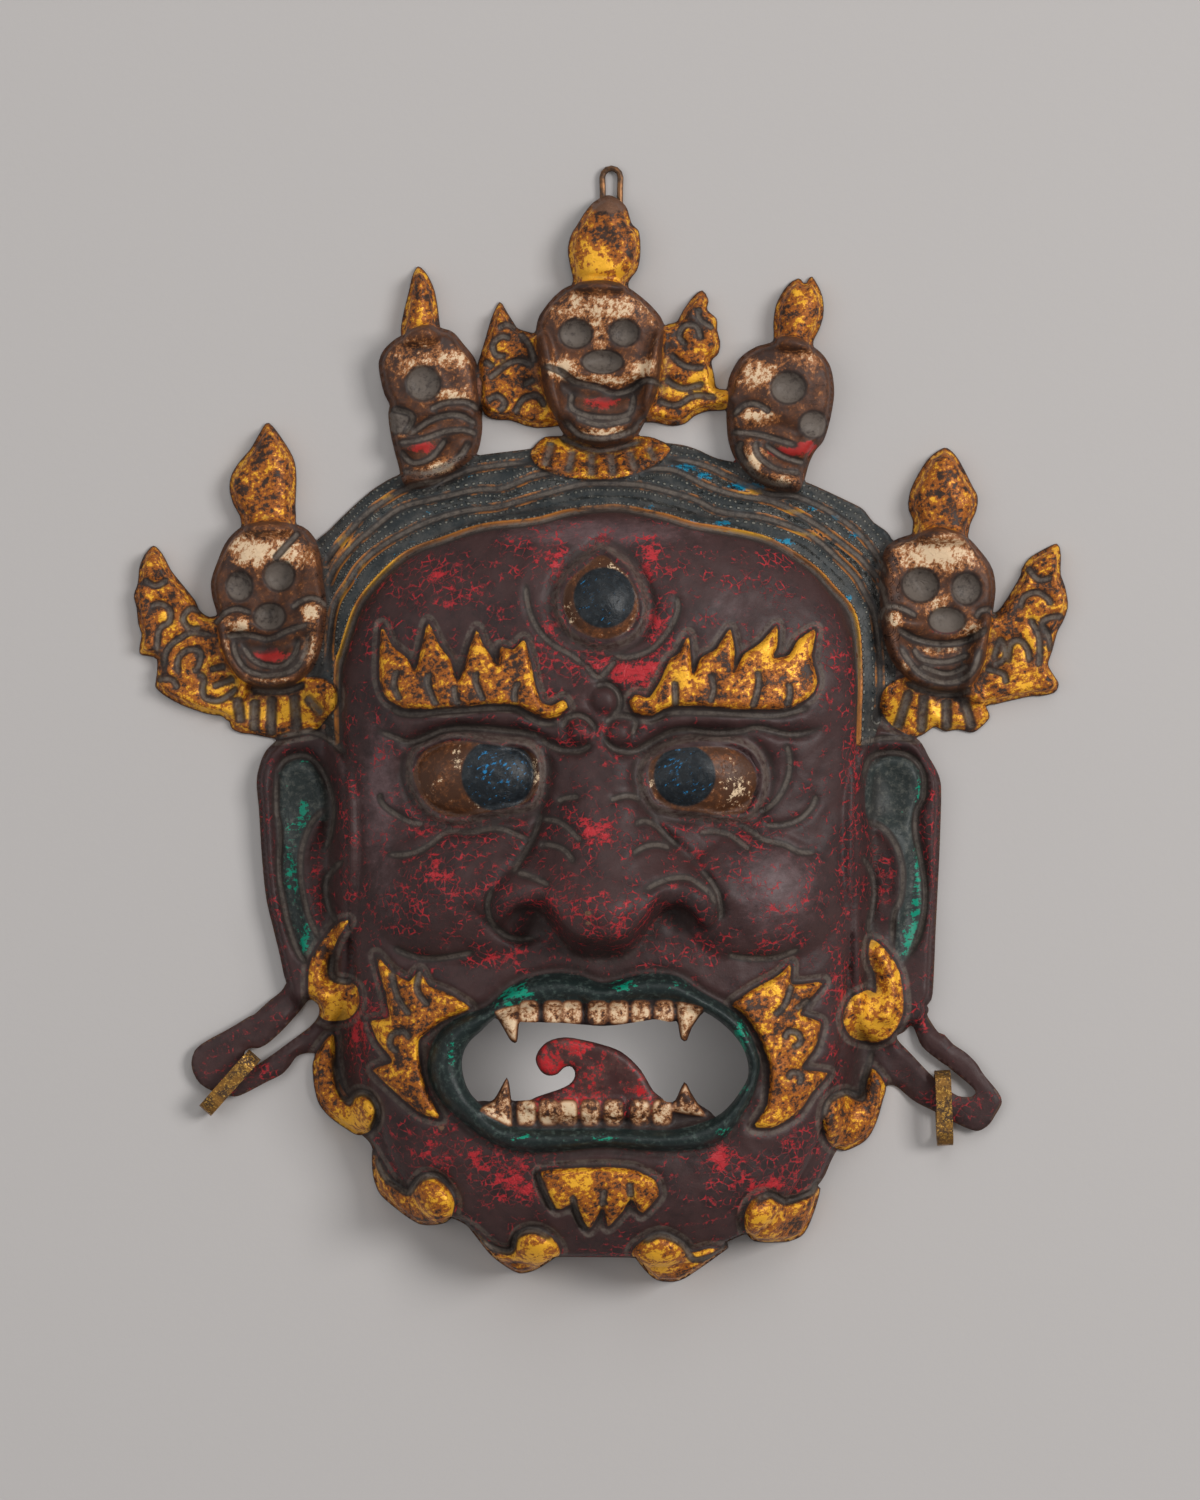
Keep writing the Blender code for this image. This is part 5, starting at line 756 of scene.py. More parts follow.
# Where the paint is worn to red, gold, cream, green, blue or bare, and where wear and a painted
# sheen grey it: x, y, radii and strength
SPOTS = {
    "red_wear": (
        (-14, 49, 3, 9, 0.8), (14, 49, 3, 9, 0.8), (0, 58, 5, 2, 0.9), (-44, 40, 9, 3, 0.6),
        (-52, 46, 15, 6, 1.0), (-20, 52, 9, 6, 0.7), (20, 50, 10, 8, 0.6), (45, 46, 16, 6, 0.6),
        (-16, 26, 5, 9, 1.0), (17, 30, 4, 10, 0.9), (0, 18, 16, 5, 1.0), (12, 15, 9, 5, 1.0),
        (-2, -2, 10, 6, 0.9), (-48, -33, 18, 4, 0.9), (38, -33, 18, 4, 0.8),
        (0, -34, 9, 7, 0.9), (0, -60, 16, 9, 1.0), (-14, -52, 8, 8, 0.8),
        (-50, -54, 16, 14, 0.6), (28, -44, 9, 8, 0.6), (56, -60, 12, 14, 0.35),
        (-30, -74, 10, 4, 0.9), (30, -72, 14, 4, 0.8), (-66, -92, 6, 9, 1.0),
        (-48, -136, 14, 7, 1.2), (-26, -144, 9, 8, 1.2), (38, -136, 6, 6, 1.2),
        (55, -146, 8, 4, 1.2), (62, -132, 9, 8, 0.8), (76, -84, 4, 26, 0.7),
        (79, -20, 3, 22, 0.7), (-78, -96, 5, 16, 1.0), (-80, -40, 4, 30, 0.6),
        (-90, -50, 3, 16, 1.0), (104.5, -40, 3, 32, 0.5), (88, -50, 4, 12, 0.8),
        (-104, -80, 5, 12, 0.6), (0, -170, 40, 3, 0.6), (72, 20, 8, 16, 0.5),
        (-114, -112, 10, 5, 0.7), (112, -120, 10, 6, 0.6)),
    # grey wear, and a painted sheen on the right cheek
    "grey_wear_and_sheen": (
        (0, 60, 40, 6, 0.8), (54, -52, 20, 20, 0.75), (40, 36, 14, 10, 0.5),
        (-70, -20, 8, 26, 0.8), (0, -150, 60, 8, 0.4), (-66, -56, 8, 16, 0.4)),
    "cream": (
        (-8, 132, 10, 5, 1.0), (10, 132, 9, 5, 0.8), (0, 122, 3, 8, 0.8),
        (-13, 112.5, 6, 3.4, 1.3), (14, 113, 6, 3.4, 1.2), (1, 109, 8, 2, 1.1),
        (0, 92.6, 11, 1.8, 1.2), (-60, 116, 9, 6, 0.8), (-47, 116, 7, 5, 0.8),
        (-48, 104.5, 8, 3, 1.0), (-50, 81, 8, 3, 1.2), (-62, 92, 4, 2, 0.6),
        (50, 112, 8, 6, 0.9), (66, 116, 7, 4, 0.6), (49, 98, 7, 3, 1.2),
        (49, 83, 4, 6, 1.2), (57, 77, 6, 2, 1.2), (-112, 55, 9, 6, 1.2), (-98, 55, 7, 6, 0.9),
        (-115, 31, 5, 3, 1.2), (-91.5, 35.5, 4, 3, 1.3), (-92, 24, 2.4, 7, 1.1),
        (-106, 13.6, 9, 1.6, 0.9), (-119, 22, 2, 6, 0.9),
        (100, 54, 9, 6, 1.0), (112, 54, 9, 6, 1.0), (107, 38, 4, 4, 1.1),
        (92, 33.6, 5, 3, 1.1), (118, 30, 5, 3, 1.0), (109, 23.4, 9, 1.6, 1.0),
        (96, 17, 3, 4, 0.8), (121, 18, 2, 5, 0.8)),
    "skull_red": (
        (0, 102, 8, 3, 1.2), (-57, 88, 7, 2.4, 1.2), (59, 86.4, 7, 1.8, 1.4),
        (66, 88.6, 4, 2, 1.2), (-105, 21.6, 8, 2.6, 1.4), (110, 29.6, 6, 1.2, 1.4),
        (106, 50, 16, 6, 0.45), (110, 18, 7, 1.6, 0.5)),
    "green_wear": (
        (-28, -84.6, 7, 5, 1.2), (7, -82.4, 6, 2.4, 1.0), (23, -82.6, 5, 2.4, 0.9),
        (44, -99, 3, 9, 1.1), (44, -114, 2, 4, 0.9), (38, -128.4, 4, 2, 0.9),
        (-25, -130, 5, 1.6, 1.0), (0, -130, 14, 1.2, 0.8), (-47, -104, 2, 8, 0.7),
        (-102.8, -14, 1.4, 3, 1.2), (-95, -12, 3, 1.4, 0.9), (-94.6, -28, 2.4, 6, 1.1),
        (-96.6, -48, 2.6, 14, 0.9), (-94, -69, 2.4, 6, 1.2), (-100, -40, 2, 20, 0.6),
        (101, -44, 1.6, 24, 1.0), (97.4, -71, 2.4, 5, 1.1), (102, -18, 1.2, 6, 0.7),
        (99, -62, 2.4, 10, 0.7), (-86, 42, 4, 14, 0.35)),
    "blue_wear": (
        (27, 82, 5, 1.8, 1.2), (46, 75.6, 7, 1.8, 1.4), (33, 79, 4, 1.4, 1.0),
        (29, 63.6, 3, 1.2, 1.0), (39, 63.6, 4, 1.2, 1.1), (57, 57.6, 6, 1.4, 1.1),
        (67, 68.6, 3, 1.4, 0.9), (75, 66, 2.6, 1.4, 1.0), (81, 60, 3, 1.4, 1.1),
        (78, 40, 2, 2, 0.9), (6, 79.4, 4, 1.2, 1.0), (15, 68.6, 2.4, 1.2, 0.7),
        (-78, 47, 1.6, 3, 0.9), (-65.5, 53.5, 2, 1.4, 0.8), (-60, 58, 2, 1.4, 0.7),
        (-55, 67, 3, 1.2, 0.6), (-42, 79, 3, 1.2, 0.7)),
    "band_gold": (
        (47, 73.8, 6, 1.2, 1.0), (63, 67.6, 6, 1.2, 1.0), (79, 55.6, 7, 7, 0.35),
        (65, 60.4, 11, 1.4, 0.8), (44, 59.6, 18, 2, 1.0), (72, 46, 10, 8, 0.35),
        (80.6, 24, 1.6, 16, 0.9), (-81.6, 26, 2.6, 18, 1.1), (-68, 48, 14, 7, 0.9),
        (-69, 72.6, 8, 2, 0.9), (-82, 58, 3, 2.4, 1.1)),
    "eye_cream": (
        (-45, -11, 1.6, 4, 1.0), (-20.5, -15, 1.6, 5.6, 1.0), (-34, -25, 7, 1.6, 1.0),
        (-54, -20, 3, 5, 0.5), (42, -20, 4.4, 6, 0.9), (16, -19, 1.4, 2.6, 0.8),
        (-10, 33, 2.4, 3.6, 0.9), (3, 48.6, 5, 3, 0.9), (10, 30, 2, 4, 0.4)),
    "iris_blue": (
        (-31, -14, 9, 6, 0.95), (-36, -18, 3, 6, 0.6), (23, -15, 6, 7, 0.85), (30, -19, 4, 3, 0.5),
        (-4, 40, 2.4, 6, 0.6), (2, 33, 5, 2, 0.3)),
    "gilt_wear": (
        (0, 145, 9, 5, 0.9), (26, 106, 10, 5, 0.9), (44, 108, 8, 6, 0.9), (-24, 92, 20, 5, 0.5),
        (-114, 3, 12, 5, 1.0), (-92, 6, 9, 6, 1.0), (102, 2, 14, 5, 1.0), (134, 18, 8, 12, 0.7),
        (-116, 12, 8, 5, 0.6), (58, 26, 12, 8, 0.8), (24, 14, 10, 5, 0.9), (-16, 13, 9, 4, 0.7),
        (-72, -98, 8, 12, 0.5), (-84, -92, 6, 7, 0.8), (84, -93, 6, 8, 0.9),
        (-78, -126, 8, 7, 0.9), (-22, -166, 8, 7, 0.9), (-54, -153, 8, 6, 0.5),
        (52, -158, 7, 6, 0.8), (20, -170, 9, 6, 0.7), (0, -144, 14, 5, 0.7),
        (-128, 12, 8, 12, 0.3)),
    "bare": (
        (-4, -59, 1.6, 1.0, 1.2), (-4, -62, 1.2, 0.9, 1.1), (-50.3, -127.4, 0.9, 0.9, 1.6),
        (-56, -44, 5, 2.2, 0.6), (2.8, 166, 7, 4.4, 1.4), (66, -46, 6, 8, 0.35))}


def sculpt(x, y):
    """Height of the front of the sheet above its own rim, before the edge is turned down."""
    r = Relief(x, y)
    r.z += base(x, y)

    across = band_gap(x, y)[0]
    r.z += 0.7 * np.clip(across / 2.4, 0, 1) ** 0.7 * (hair_depth(x, y) > 0)

    # forehead and brows, cheeks, chin and jaw
    for swelling in ((0, 39, 34, 26, 5.0), (-45, 6, 34, 14, 4.0), (44, 6, 34, 14, 4.0)):
        r.mound(*swelling)
    for cheek in ((-46, -54, 28, 22, 8.5), (50, -55, 27, 21, 8.5)):
        r.ball(*cheek)
    for swelling in ((0, -150, 40, 16, 6.0), (0, -106, 52, 30, 5.0)):
        r.mound(*swelling)

    # nose: a ridge down to the tip, the wings and the nostrils, then the three knobs above it
    nose, side = drawn(NOSE_PROJECTION), np.abs(x)
    foot = (-58.5 - 16 * np.exp(-(side / 15.5) ** 4)
            - 7 * np.exp(-((side - 33) / 4.5) ** 2))
    ridge = ease((10 - y) / 70) * ease((y - foot) / 9)
    width = 11 + 10 * ease((2 - y) / 60)
    r.z += 0.86 * nose * ridge * np.exp(-(side / width) ** 3)
    r.z += 0.26 * nose * np.exp(-(side / 12) ** 2 - ((y + 59) / 10) ** 2) * ease((y - foot) / 6)
    nostril_wings = np.exp(-((side - 25) / 11) ** 2 - ((y + 55) / 10) ** 2)
    r.z += 9.0 * nostril_wings * ease((y - foot) / 3)
    r.ball(-22.4, -65, 6.4, 3.4, -1.2, tilt=-8)
    r.ball(25.2, -62.4, 6.4, 3.4, -1.2, tilt=12)
    r.stroke([(-19, -28), (-21.5, -36), (-24.6, -42), (-30, -47), (-35.5, -55),
              (-35.2, -61), (-28, -67.4), (-19.5, -67.2)], 1.8, 1.8)
    r.stroke([(13.5, -26), (21, -35.5), (25.5, -40), (31.4, -46), (36.7, -53),
              (37.8, -61)], 1.8, 1.8)
    for knob in ((1, 7.4, 5.4), (-6.4, -2.8, 5.2), (5.8, -3.4, 5.2)):
        r.ball(knob[0], knob[1], knob[2] + 1.4, knob[2] + 1.4, -1.5)
        r.ball(*knob[:2], knob[2] - 0.6, knob[2] - 0.6, 3.4)

    # the hollow of the third eye, and the three eyes with their lids
    r.ball(0, 40, 25, 24, -2.2, power=0.8)
    for eye, globe in zip(LIDS, ((0.2, 39.4, 12.6, 14.4), (-39.6, -17, 19, 12),
                                 (31.8, -17, 18, 11.4))):
        r.plate(eye, 1.6, 2.2, trench=2.0, width=2.0)
        r.z -= 2.6 * ease((inward(eye, x, y) - 1.6) / 1.4)
        r.ball(*globe, 7.0, power=0.7)
    r.stroke([(-64, -7), (-54, -3.4), (-46, -1.2), (-30, -2), (-20, -3.6), (-11, -8.4),
              (-4, -7)], 1.8, 2.0)
    r.stroke([(3.2, -7.4), (11, -8.6), (20, -4), (30, -2.2), (46, -1.6), (58, -3.4),
              (69, -2)], 1.8, 2.0)

    for brow in FLAMES[:2]:
        r.plate(brow, 3.2, 1.8, trench=0.9, width=1.1)

    # lips, teeth and tongue
    outer, inner = inward(LIPS, x, y), -inward(OPENING, x, y, 24.0)
    across = np.clip(2 * outer / np.maximum(outer + inner, 1e-6), 0, 2) - 1
    r.z += 5.2 * (1 - across ** 2) * (outer > 0) * (inner > 0)
    r.z -= 1.2 * np.exp(-((outer + 0.8) / 1.6) ** 2)
    r.z -= 2.2 * ease((-inner - 0.2) / 1.6)
    for away in squares(RAISED_TEETH, x, y):
        r.z += 2.4 * np.clip(1 - away, 0, 1) ** 0.5
    for fang in FANGS:
        r.plate(fang, 2.8, 2.4)
    r.plate(TONGUE, 1.8, 2.4)

    for flame in FLAMES[2:]:
        r.plate(flame, 2.8, 1.8, trench=1.2, width=1.3)
    for line in CURLS:
        r.plate(line, 3.6, 2.2, trench=1.0, width=1.3)
    for cx, cy in ((-77.4, -123.6), (-54, -151.4), (-20.8, -166.6), (78, -126.6),
                   (52.2, -156.8), (19, -169)):
        r.ball(cx, cy, 7.4, 7.0, 3.4)

    # leaves before the ears, and the ears
    for line in ([(-80, -64), (-87, -70), (-90.6, -80), (-88, -90)],
                 [(86.6, -70), (91, -78), (92.8, -88), (90, -96)]):
        r.stroke(line, -3.2, 3.0)
    r.ball(-84, -87, 8.6, 7.6, 4.2)
    r.ball(84.6, -92.6, 9, 8.4, 4.2)
    ear = drawn(EAR_RELIEF)
    for line in (EAR_LEFT, EAR_RIGHT):
        r.plate(line, ear, 4.0)
    for points in ([(-88, -37), (-85.6, -28), (-87, -19), (-92.4, -11), (-98, -10),
                    (-103, -15), (-103.6, -27), (-102.6, -48), (-99.6, -64), (-94, -76)],
                   [(84.6, -31), (83.2, -22), (84.6, -13), (90, -9.4), (98.7, -10.4),
                    (102.8, -17), (101, -30), (102.6, -45), (103, -58), (97.4, -75)]):
        r.stroke(points, 2.4, 2.0)
    for points in ([(-89, -28), (-94.4, -36.7), (-95.6, -48), (-92.8, -62), (-89.6, -69)],
                   [(86, -31.6), (92.3, -36), (96, -46), (95.4, -56), (93, -66)]):
        r.stroke(points, -2.2, 2.2)
    r.ball(-96.5, -27, 7, 13, -3.2, tilt=4)
    r.ball(93, -22, 8, 11, -3.2)
    r.ball(-98, -56, 3.6, 16, -2.4, tilt=8)
    r.ball(98.4, -56, 3.6, 18, -2.4, tilt=-2)

    # the crown
    skull, wing = drawn(SKULL_RELIEF), drawn(WING_RELIEF)
    for line in WINGS:
        r.plate(line, wing, 2.6)
    for line in FINIALS:
        r.plate(line, skull * 0.45, 2.2, puff=skull * 0.55, reach=8)
    for line in SKULLS:
        r.plate(line, skull, 3.2, puff=2.6, reach=12)
    for line in COLLARS:
        r.plate(line, 2.4, 1.8)
    for shape in FRONT_SKULLS:
        front_skull(r, *shape)
    for shape in SIDE_SKULLS:
        side_skull(r, *shape)
    return r.z


def turned_edge(x, y, rims):
    """How far the relief has risen from the flat rim: 0 on the rim, 1 a little inside.

    An eased step of the distance to the rim's own line.
    """
    depth = outline(x, y)
    near = (depth > 0) & (depth < RIM + TURN)
    gap = np.full(np.count_nonzero(near), RIM + TURN)
    px, py = x[near], y[near]
    for rim in rims:
        close = boxed(rim, px, py, 5)
        gap[close] = np.minimum(gap[close], measure(rim, px[close], py[close], True)[0])
    depth[near] = gap
    return ease((depth - RIM) / TURN)


def lifted(x, y):
    """The rim's own height: up at the lobes for the rings, at the finial for the wire."""
    left = ease((-93 - x) / 9) * ease((-85 - y) / 9)
    right = ease((x - 95) / 9) * ease((-92 - y) / 9)
    finial = ease((y - 139) / 6) * ease((20 - np.abs(x - 1)) / 5)
    return LIFT_LOBE * (left + right) + LIFT_FINIAL * finial


def hair_depth(x, y):
    """Depth inside the hair bands, between the head's outline and the forehead."""
    return np.minimum(np.minimum(inward(HEAD, x, y), -inward(FOREHEAD, x, y)), y + 7)


def band_gap(x, y):
    """Distance to the nearest hair line and the length run along it, in millimetres."""
    gap, run = np.full(x.shape, 12.0), np.zeros(x.shape)
    for points in HAIR_LINES:
        line = curve(points, closed=False)
        near = boxed(line, x, y, 12)
        away, along, _ = measure(line, x[near], y[near], False)
        length = np.hypot(*np.diff(line, axis=0).T).sum()
        closer = away < gap[near]
        gap[near] = np.where(closer, away, gap[near])
        run[near] = np.where(closer, along * length, run[near])
    return gap, run


# Groups of chased lines: the points, how deep and wide they are cut, how far dirt reaches
LINES = ((HAIR_LINES, 1.0, 1.0, 1.5), (FACE_LINES, 1.3, 1.3, 1.5), (EAR_LINES, 1.3, 1.2, 1.5),
         (SKULL_LINES, 1.5, 1.1, 1.5), (GOLD_LINES, 1.5, 1.1, 1.5), (COLLAR_LINES, 1.7, 1.5, 2.2))


def chase(x, y):
    """Depth cut by the chased lines, and how near their middle a point is, 1 on it."""
    cut, mark = np.zeros(x.shape), np.full(x.shape, -1.0)
    for group, depth, width, reach in LINES:
        for points in group:
            line = curve(points, closed=False)
            near = boxed(line, x, y, 4)
            gap, along, _ = measure(line, x[near], y[near], False)
            end = ease(along / 0.12 + 0.25) * ease((1 - along) / 0.12 + 0.25)
            cut[near] = np.maximum(cut[near], depth * end * np.exp(-(gap / width) ** 2))
            mark[near] = np.maximum(mark[near], end * (1 - gap / reach))
    return cut, mark


def beaten(x, y):
    """Unevenness left by the hammer: crossed waves whose crests wander, in millimetres."""
    broad = np.sin(0.29 * x + 1.9 * np.sin(0.11 * y)) * np.sin(0.25 * y + 2.1 * np.sin(0.13 * x))
    close = np.sin(0.71 * x + 1.7 * np.sin(0.37 * y)) * np.sin(0.66 * y + 1.6 * np.sin(0.41 * x))
    return 0.30 * broad + 0.13 * close


def spots(x, y, places):
    """Soft spots summed: each place gives its centre, its two radii and its strength."""
    total = np.zeros(x.shape)
    for cx, cy, rx, ry, strength in places:
        total += strength * np.exp(-((x - cx) / rx) ** 2 - ((y - cy) / ry) ** 2)
    return total


def deepest(lines, x, y):
    """Greatest depth inside any of the closed lines."""
    depth = inward(lines[0], x, y)
    for line in lines[1:]:
        depth = np.maximum(depth, inward(line, x, y))
    return depth


def front(x, y, rims):
    """Height of the sheet's front above the table, and the marks that its paint follows.

    Height is the rim's lift, the sheet's thickness and the sculpted, beaten and chased form
    times the turned edge. Marks are depths inside borders, distances and sums of spots.
    """
    cut, mark = chase(x, y)
    edge = turned_edge(x, y, rims)
    rise = np.maximum(sculpt(x, y) + beaten(x, y) - cut, 0.6) * edge
    gap, run = band_gap(x, y)
    marks = {"chase": mark, "edge": edge, "band_gap": gap, "band_run": run}
    marks["hair"] = hair_depth(x, y)
    marks["gold"] = deepest((*FLAMES, *CURLS, *LEAVES, *FINIALS, *WINGS, *COLLARS), x, y)
    marks["flame"] = deepest(FLAMES, x, y)
    marks["bone"] = deepest(SKULLS, x, y)
    marks["lid"] = deepest(LIDS, x, y)
    marks["concha"] = deepest(CONCHAS, x, y)
    marks["lip"] = np.minimum(inward(LIPS, x, y), -inward(OPENING, x, y))
    marks["jaw"] = inward(OPENING, x, y)
    marks["tongue"] = inward(TONGUE, x, y)
    teeth = deepest(FANGS, x, y)
    for away in squares(PAINTED_TEETH, x, y):
        teeth = np.maximum(teeth, 3.3 * (1 - away ** 0.25))
    marks["teeth"] = teeth
    marks["eyeball"] = deepest([ball for ball, _ in EYEBALLS], x, y)
    marks["brow_edge"] = inward(FOREHEAD, x, y)
    socket = np.full(x.shape, -9.0)
    for cx, cy, rx, ry in SOCKETS:
        socket = np.maximum(socket, rx * (1 - np.hypot((x - cx) / rx, (y - cy) / ry)))
    marks["socket"] = socket
    iris = np.full(x.shape, 40.0)
    for _, (cx, cy, radius) in EYEBALLS:
        iris = np.minimum(iris, np.hypot(x - cx, y - cy) * 10 / radius)
    marks["iris"] = iris
    for key, places in SPOTS.items():
        marks[key] = spots(x, y, places)
    return lifted(x, y) + drawn(SHEET) + rise, marks


RINGS = {
    "earring_left": ((-110.4, -105.6), (-0.664, -0.748)),
    "earring_right": ((108.9, -110.6), (0.041, -0.999))}
RING_ROOM = drawn(STRIP_WIDTH / 2 + CLEARANCE) * 1.02
RING_SEATS = [(start[0] + way[0] * drawn(STRIP), start[1] + way[1] * drawn(STRIP))
              for start, way in RINGS.values()]


def area(loop):
    """Area inside a closed line, positive when it runs anticlockwise."""
    x, y = loop.T
    return 0.5 * np.sum(x * np.roll(y, -1) - np.roll(x, -1) * y)


def contour(level, xs, ys):
    """Closed lines where the sampled field is zero, by marching squares."""
    links = {}
    inside = level > 0

    def cross(i0, j0, i1, j1):
        a, b = level[i0, j0], level[i1, j1]
        t = a / (a - b)
        return (xs[j0] + t * (xs[j1] - xs[j0]), ys[i0] + t * (ys[i1] - ys[i0]))

    cells = inside[:-1, :-1] * 1 + inside[:-1, 1:] * 2 + inside[1:, 1:] * 4 + inside[1:, :-1] * 8
    steps = {1: "WS", 2: "SE", 3: "WE", 4: "EN", 5: "WSEN", 6: "SN", 7: "WN", 8: "NW", 9: "NS",
             10: "SENW", 11: "NE", 12: "EW", 13: "ES", 14: "SW"}
    corner = {"S": ((0, 0), (0, 1)), "E": ((0, 1), (1, 1)), "N": ((1, 0), (1, 1)),
              "W": ((0, 0), (1, 0))}
    place = {}
    for i, j in np.argwhere((cells > 0) & (cells < 15)):
        route = steps[int(cells[i, j])]
        for a, b in zip(route[::2], route[1::2]):
            keys = []
            for side in (a, b):
                (p, q), (s, t) = corner[side]
                key = (i + p, j + q, i + s, j + t)
                place[key] = cross(*key)
                keys.append(key)
            links[keys[0]] = keys[1]
    loops = []
    while links:
        first, key = next(iter(links.items()))
        loop = [first]
        del links[first]
        while key != first and key in links:
            loop.append(key)
            key = links.pop(key)
        loops.append(np.array([place[k] for k in loop]))
    return [loop for loop in loops if abs(area(loop)) > SMALLEST_HOLE]


def thin(loop, tolerance):
    """Drop the points of a closed line that its chords don't need, no chord too long."""
    far = int(np.argmax(((loop - loop[0]) ** 2).sum(1)))
    keep = {0, far}
    stack = [(0, far), (far, len(loop))]
    ring = np.vstack([loop, loop[:1]])
    while stack:
        a, b = stack.pop()
        if b - a < 2:
            continue
        run = ring[b] - ring[a]
        span = max(np.hypot(*run), 1e-9)
        side = ring[a + 1:b] - ring[a]
        gap = np.abs(side[:, 0] * run[1] - side[:, 1] * run[0]) / span
        worst = int(np.argmax(gap))
        if gap[worst] > tolerance or span > LONGEST_EDGE:
            middle = a + 1 + worst if gap[worst] > tolerance else (a + b) // 2
            keep.add(middle)
            stack += [(a, middle), (middle, b)]
    return loop[sorted(keep)]


def resample(line, step):
    """Points every step along an open line, with the unit direction at each."""
    runs = np.diff(line, axis=0)
    length = np.concatenate([[0], np.cumsum(np.hypot(runs[:, 0], runs[:, 1]))])
    count = max(2, int(round(length[-1] / step)) + 1)
    at = np.linspace(0, length[-1], count)
    points = np.column_stack([np.interp(at, length, column) for column in line.T])
    way = np.gradient(points, axis=0)
    return points, way / np.maximum(np.hypot(way[:, 0], way[:, 1]), 1e-9)[:, None]


def scatter(spacing, depth, xs, ys, clear, lines=()):
    """Sample points: along the chased lines and either side of them, then an even spread.

    A point is taken where the sheet is deeper than clear and no taken point is within room.
    """
    taken = np.zeros((int(360 / FINE), int(310 / FINE)), dtype=bool)
    chosen = []

    def offer(points, room):
        reach = int(np.ceil(room / FINE))
        inside = surface(points[:, 0], points[:, 1], xs, ys, depth) > clear
        for px, py in points[inside]:
            i, j = int((py + 180) / FINE), int((px + 155) / FINE)
            if not taken[i, j]:
                chosen.append((px, py))
                taken[max(i - reach, 0):i + reach + 1, max(j - reach, 0):j + reach + 1] = True

    for side in LINE_SIDES:
        for line in lines:
            points, way = resample(line, LINE_STEP)
            offer(points + side * np.column_stack([-way[:, 1], way[:, 0]]), LINE_ROOM)
    rows = np.arange(-179.5, 171, spacing * 0.866)
    for k, row in enumerate(rows):
        cols = np.arange(-151 + (k % 2) * spacing / 2, 151, spacing)
        offer(np.column_stack([cols, np.full(len(cols), row)]), 0.55 * spacing * 0.8)
    return chosen


def surface(px, py, xs, ys, field):
    """A sampled field between its samples: the four around a point, weighted by nearness."""
    u = np.clip((px - xs[0]) / GRID, 0, len(xs) - 1.001)
    v = np.clip((py - ys[0]) / GRID, 0, len(ys) - 1.001)
    j, i = u.astype(int), v.astype(int)
    s, t = u - j, v - i
    low = field[i, j] * (1 - s) + field[i, j + 1] * s
    high = field[i + 1, j] * (1 - s) + field[i + 1, j + 1] * s
    return low * (1 - t) + high * t


def triangulate(points, loops):
    """Triangles on the points, with the loops as edges, kept where the sheet is."""
    edges, count = [], 0
    for line in loops:
        n = len(line)
        edges += [(count + i, count + (i + 1) % n) for i in range(n)]
        count += n
    made = delaunay_2d_cdt([Vector(p) for p in points], edges, [], 0, 1e-6, False)
    corners = np.array([tuple(v) for v in made[0]])
    faces = np.array([f for f in made[2] if len(f) == 3])
    a, b, c = corners[faces].transpose(1, 0, 2)
    turn = (b[:, 0] - a[:, 0]) * (c[:, 1] - a[:, 1]) - (b[:, 1] - a[:, 1]) * (c[:, 0] - a[:, 0])
    faces = np.where((turn > 0)[:, None], faces, faces[:, ::-1])
    x, y = corners[faces].mean(axis=1).T
    kept = np.zeros(len(faces), dtype=bool)
    for loop in loops:
        near = boxed(loop, x, y, 0)
        kept[near] ^= measure(loop, x[near], y[near], True)[2]
    return corners, faces[kept]


def blurred(field, width):
    """The field smoothed by repeated box filters of the given half width in samples."""
    for _ in range(2):
        for axis in (0, 1):
            pad = [(width, width) if k == axis else (0, 0) for k in (0, 1)]
            run = np.cumsum(np.pad(field, pad, mode="edge"), axis=axis)
            run = np.insert(run, 0, 0, axis=axis)
            size = 2 * width + 1
            ends = np.take(run, range(size, run.shape[axis]), axis=axis)
            starts = np.take(run, range(0, run.shape[axis] - size), axis=axis)
            field = (ends - starts) / size
    return field


def mesh_piece(name, verts, polygons, attributes):
    """A smooth object at the origin from arrays in metres, with a float a point per name."""
    mesh = bpy.data.meshes.new(name)
    mesh.vertices.add(len(verts))
    mesh.vertices.foreach_set("co", np.asarray(verts, dtype=np.float32).ravel())
    flat = np.asarray(polygons, dtype=np.int32)
    mesh.loops.add(flat.size)
    mesh.loops.foreach_set("vertex_index", flat.ravel())
    mesh.polygons.add(len(flat))
    mesh.polygons.foreach_set("loop_start", np.arange(0, flat.size, flat.shape[1], dtype=np.int32))
    mesh.polygons.foreach_set("loop_total", np.full(len(flat), flat.shape[1], dtype=np.int32))
    mesh.polygons.foreach_set("use_smooth", np.ones(len(flat), dtype=bool))
    for key, values in attributes.items():
        layer = mesh.attributes.new(key, "FLOAT", "POINT")
        layer.data.foreach_set("value", np.asarray(values, dtype=np.float32))
    mesh.update()
    mesh.validate()
    piece = bpy.data.objects.new(name, mesh)
    bpy.context.scene.collection.objects.link(piece)
    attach(piece, "root")
    return piece


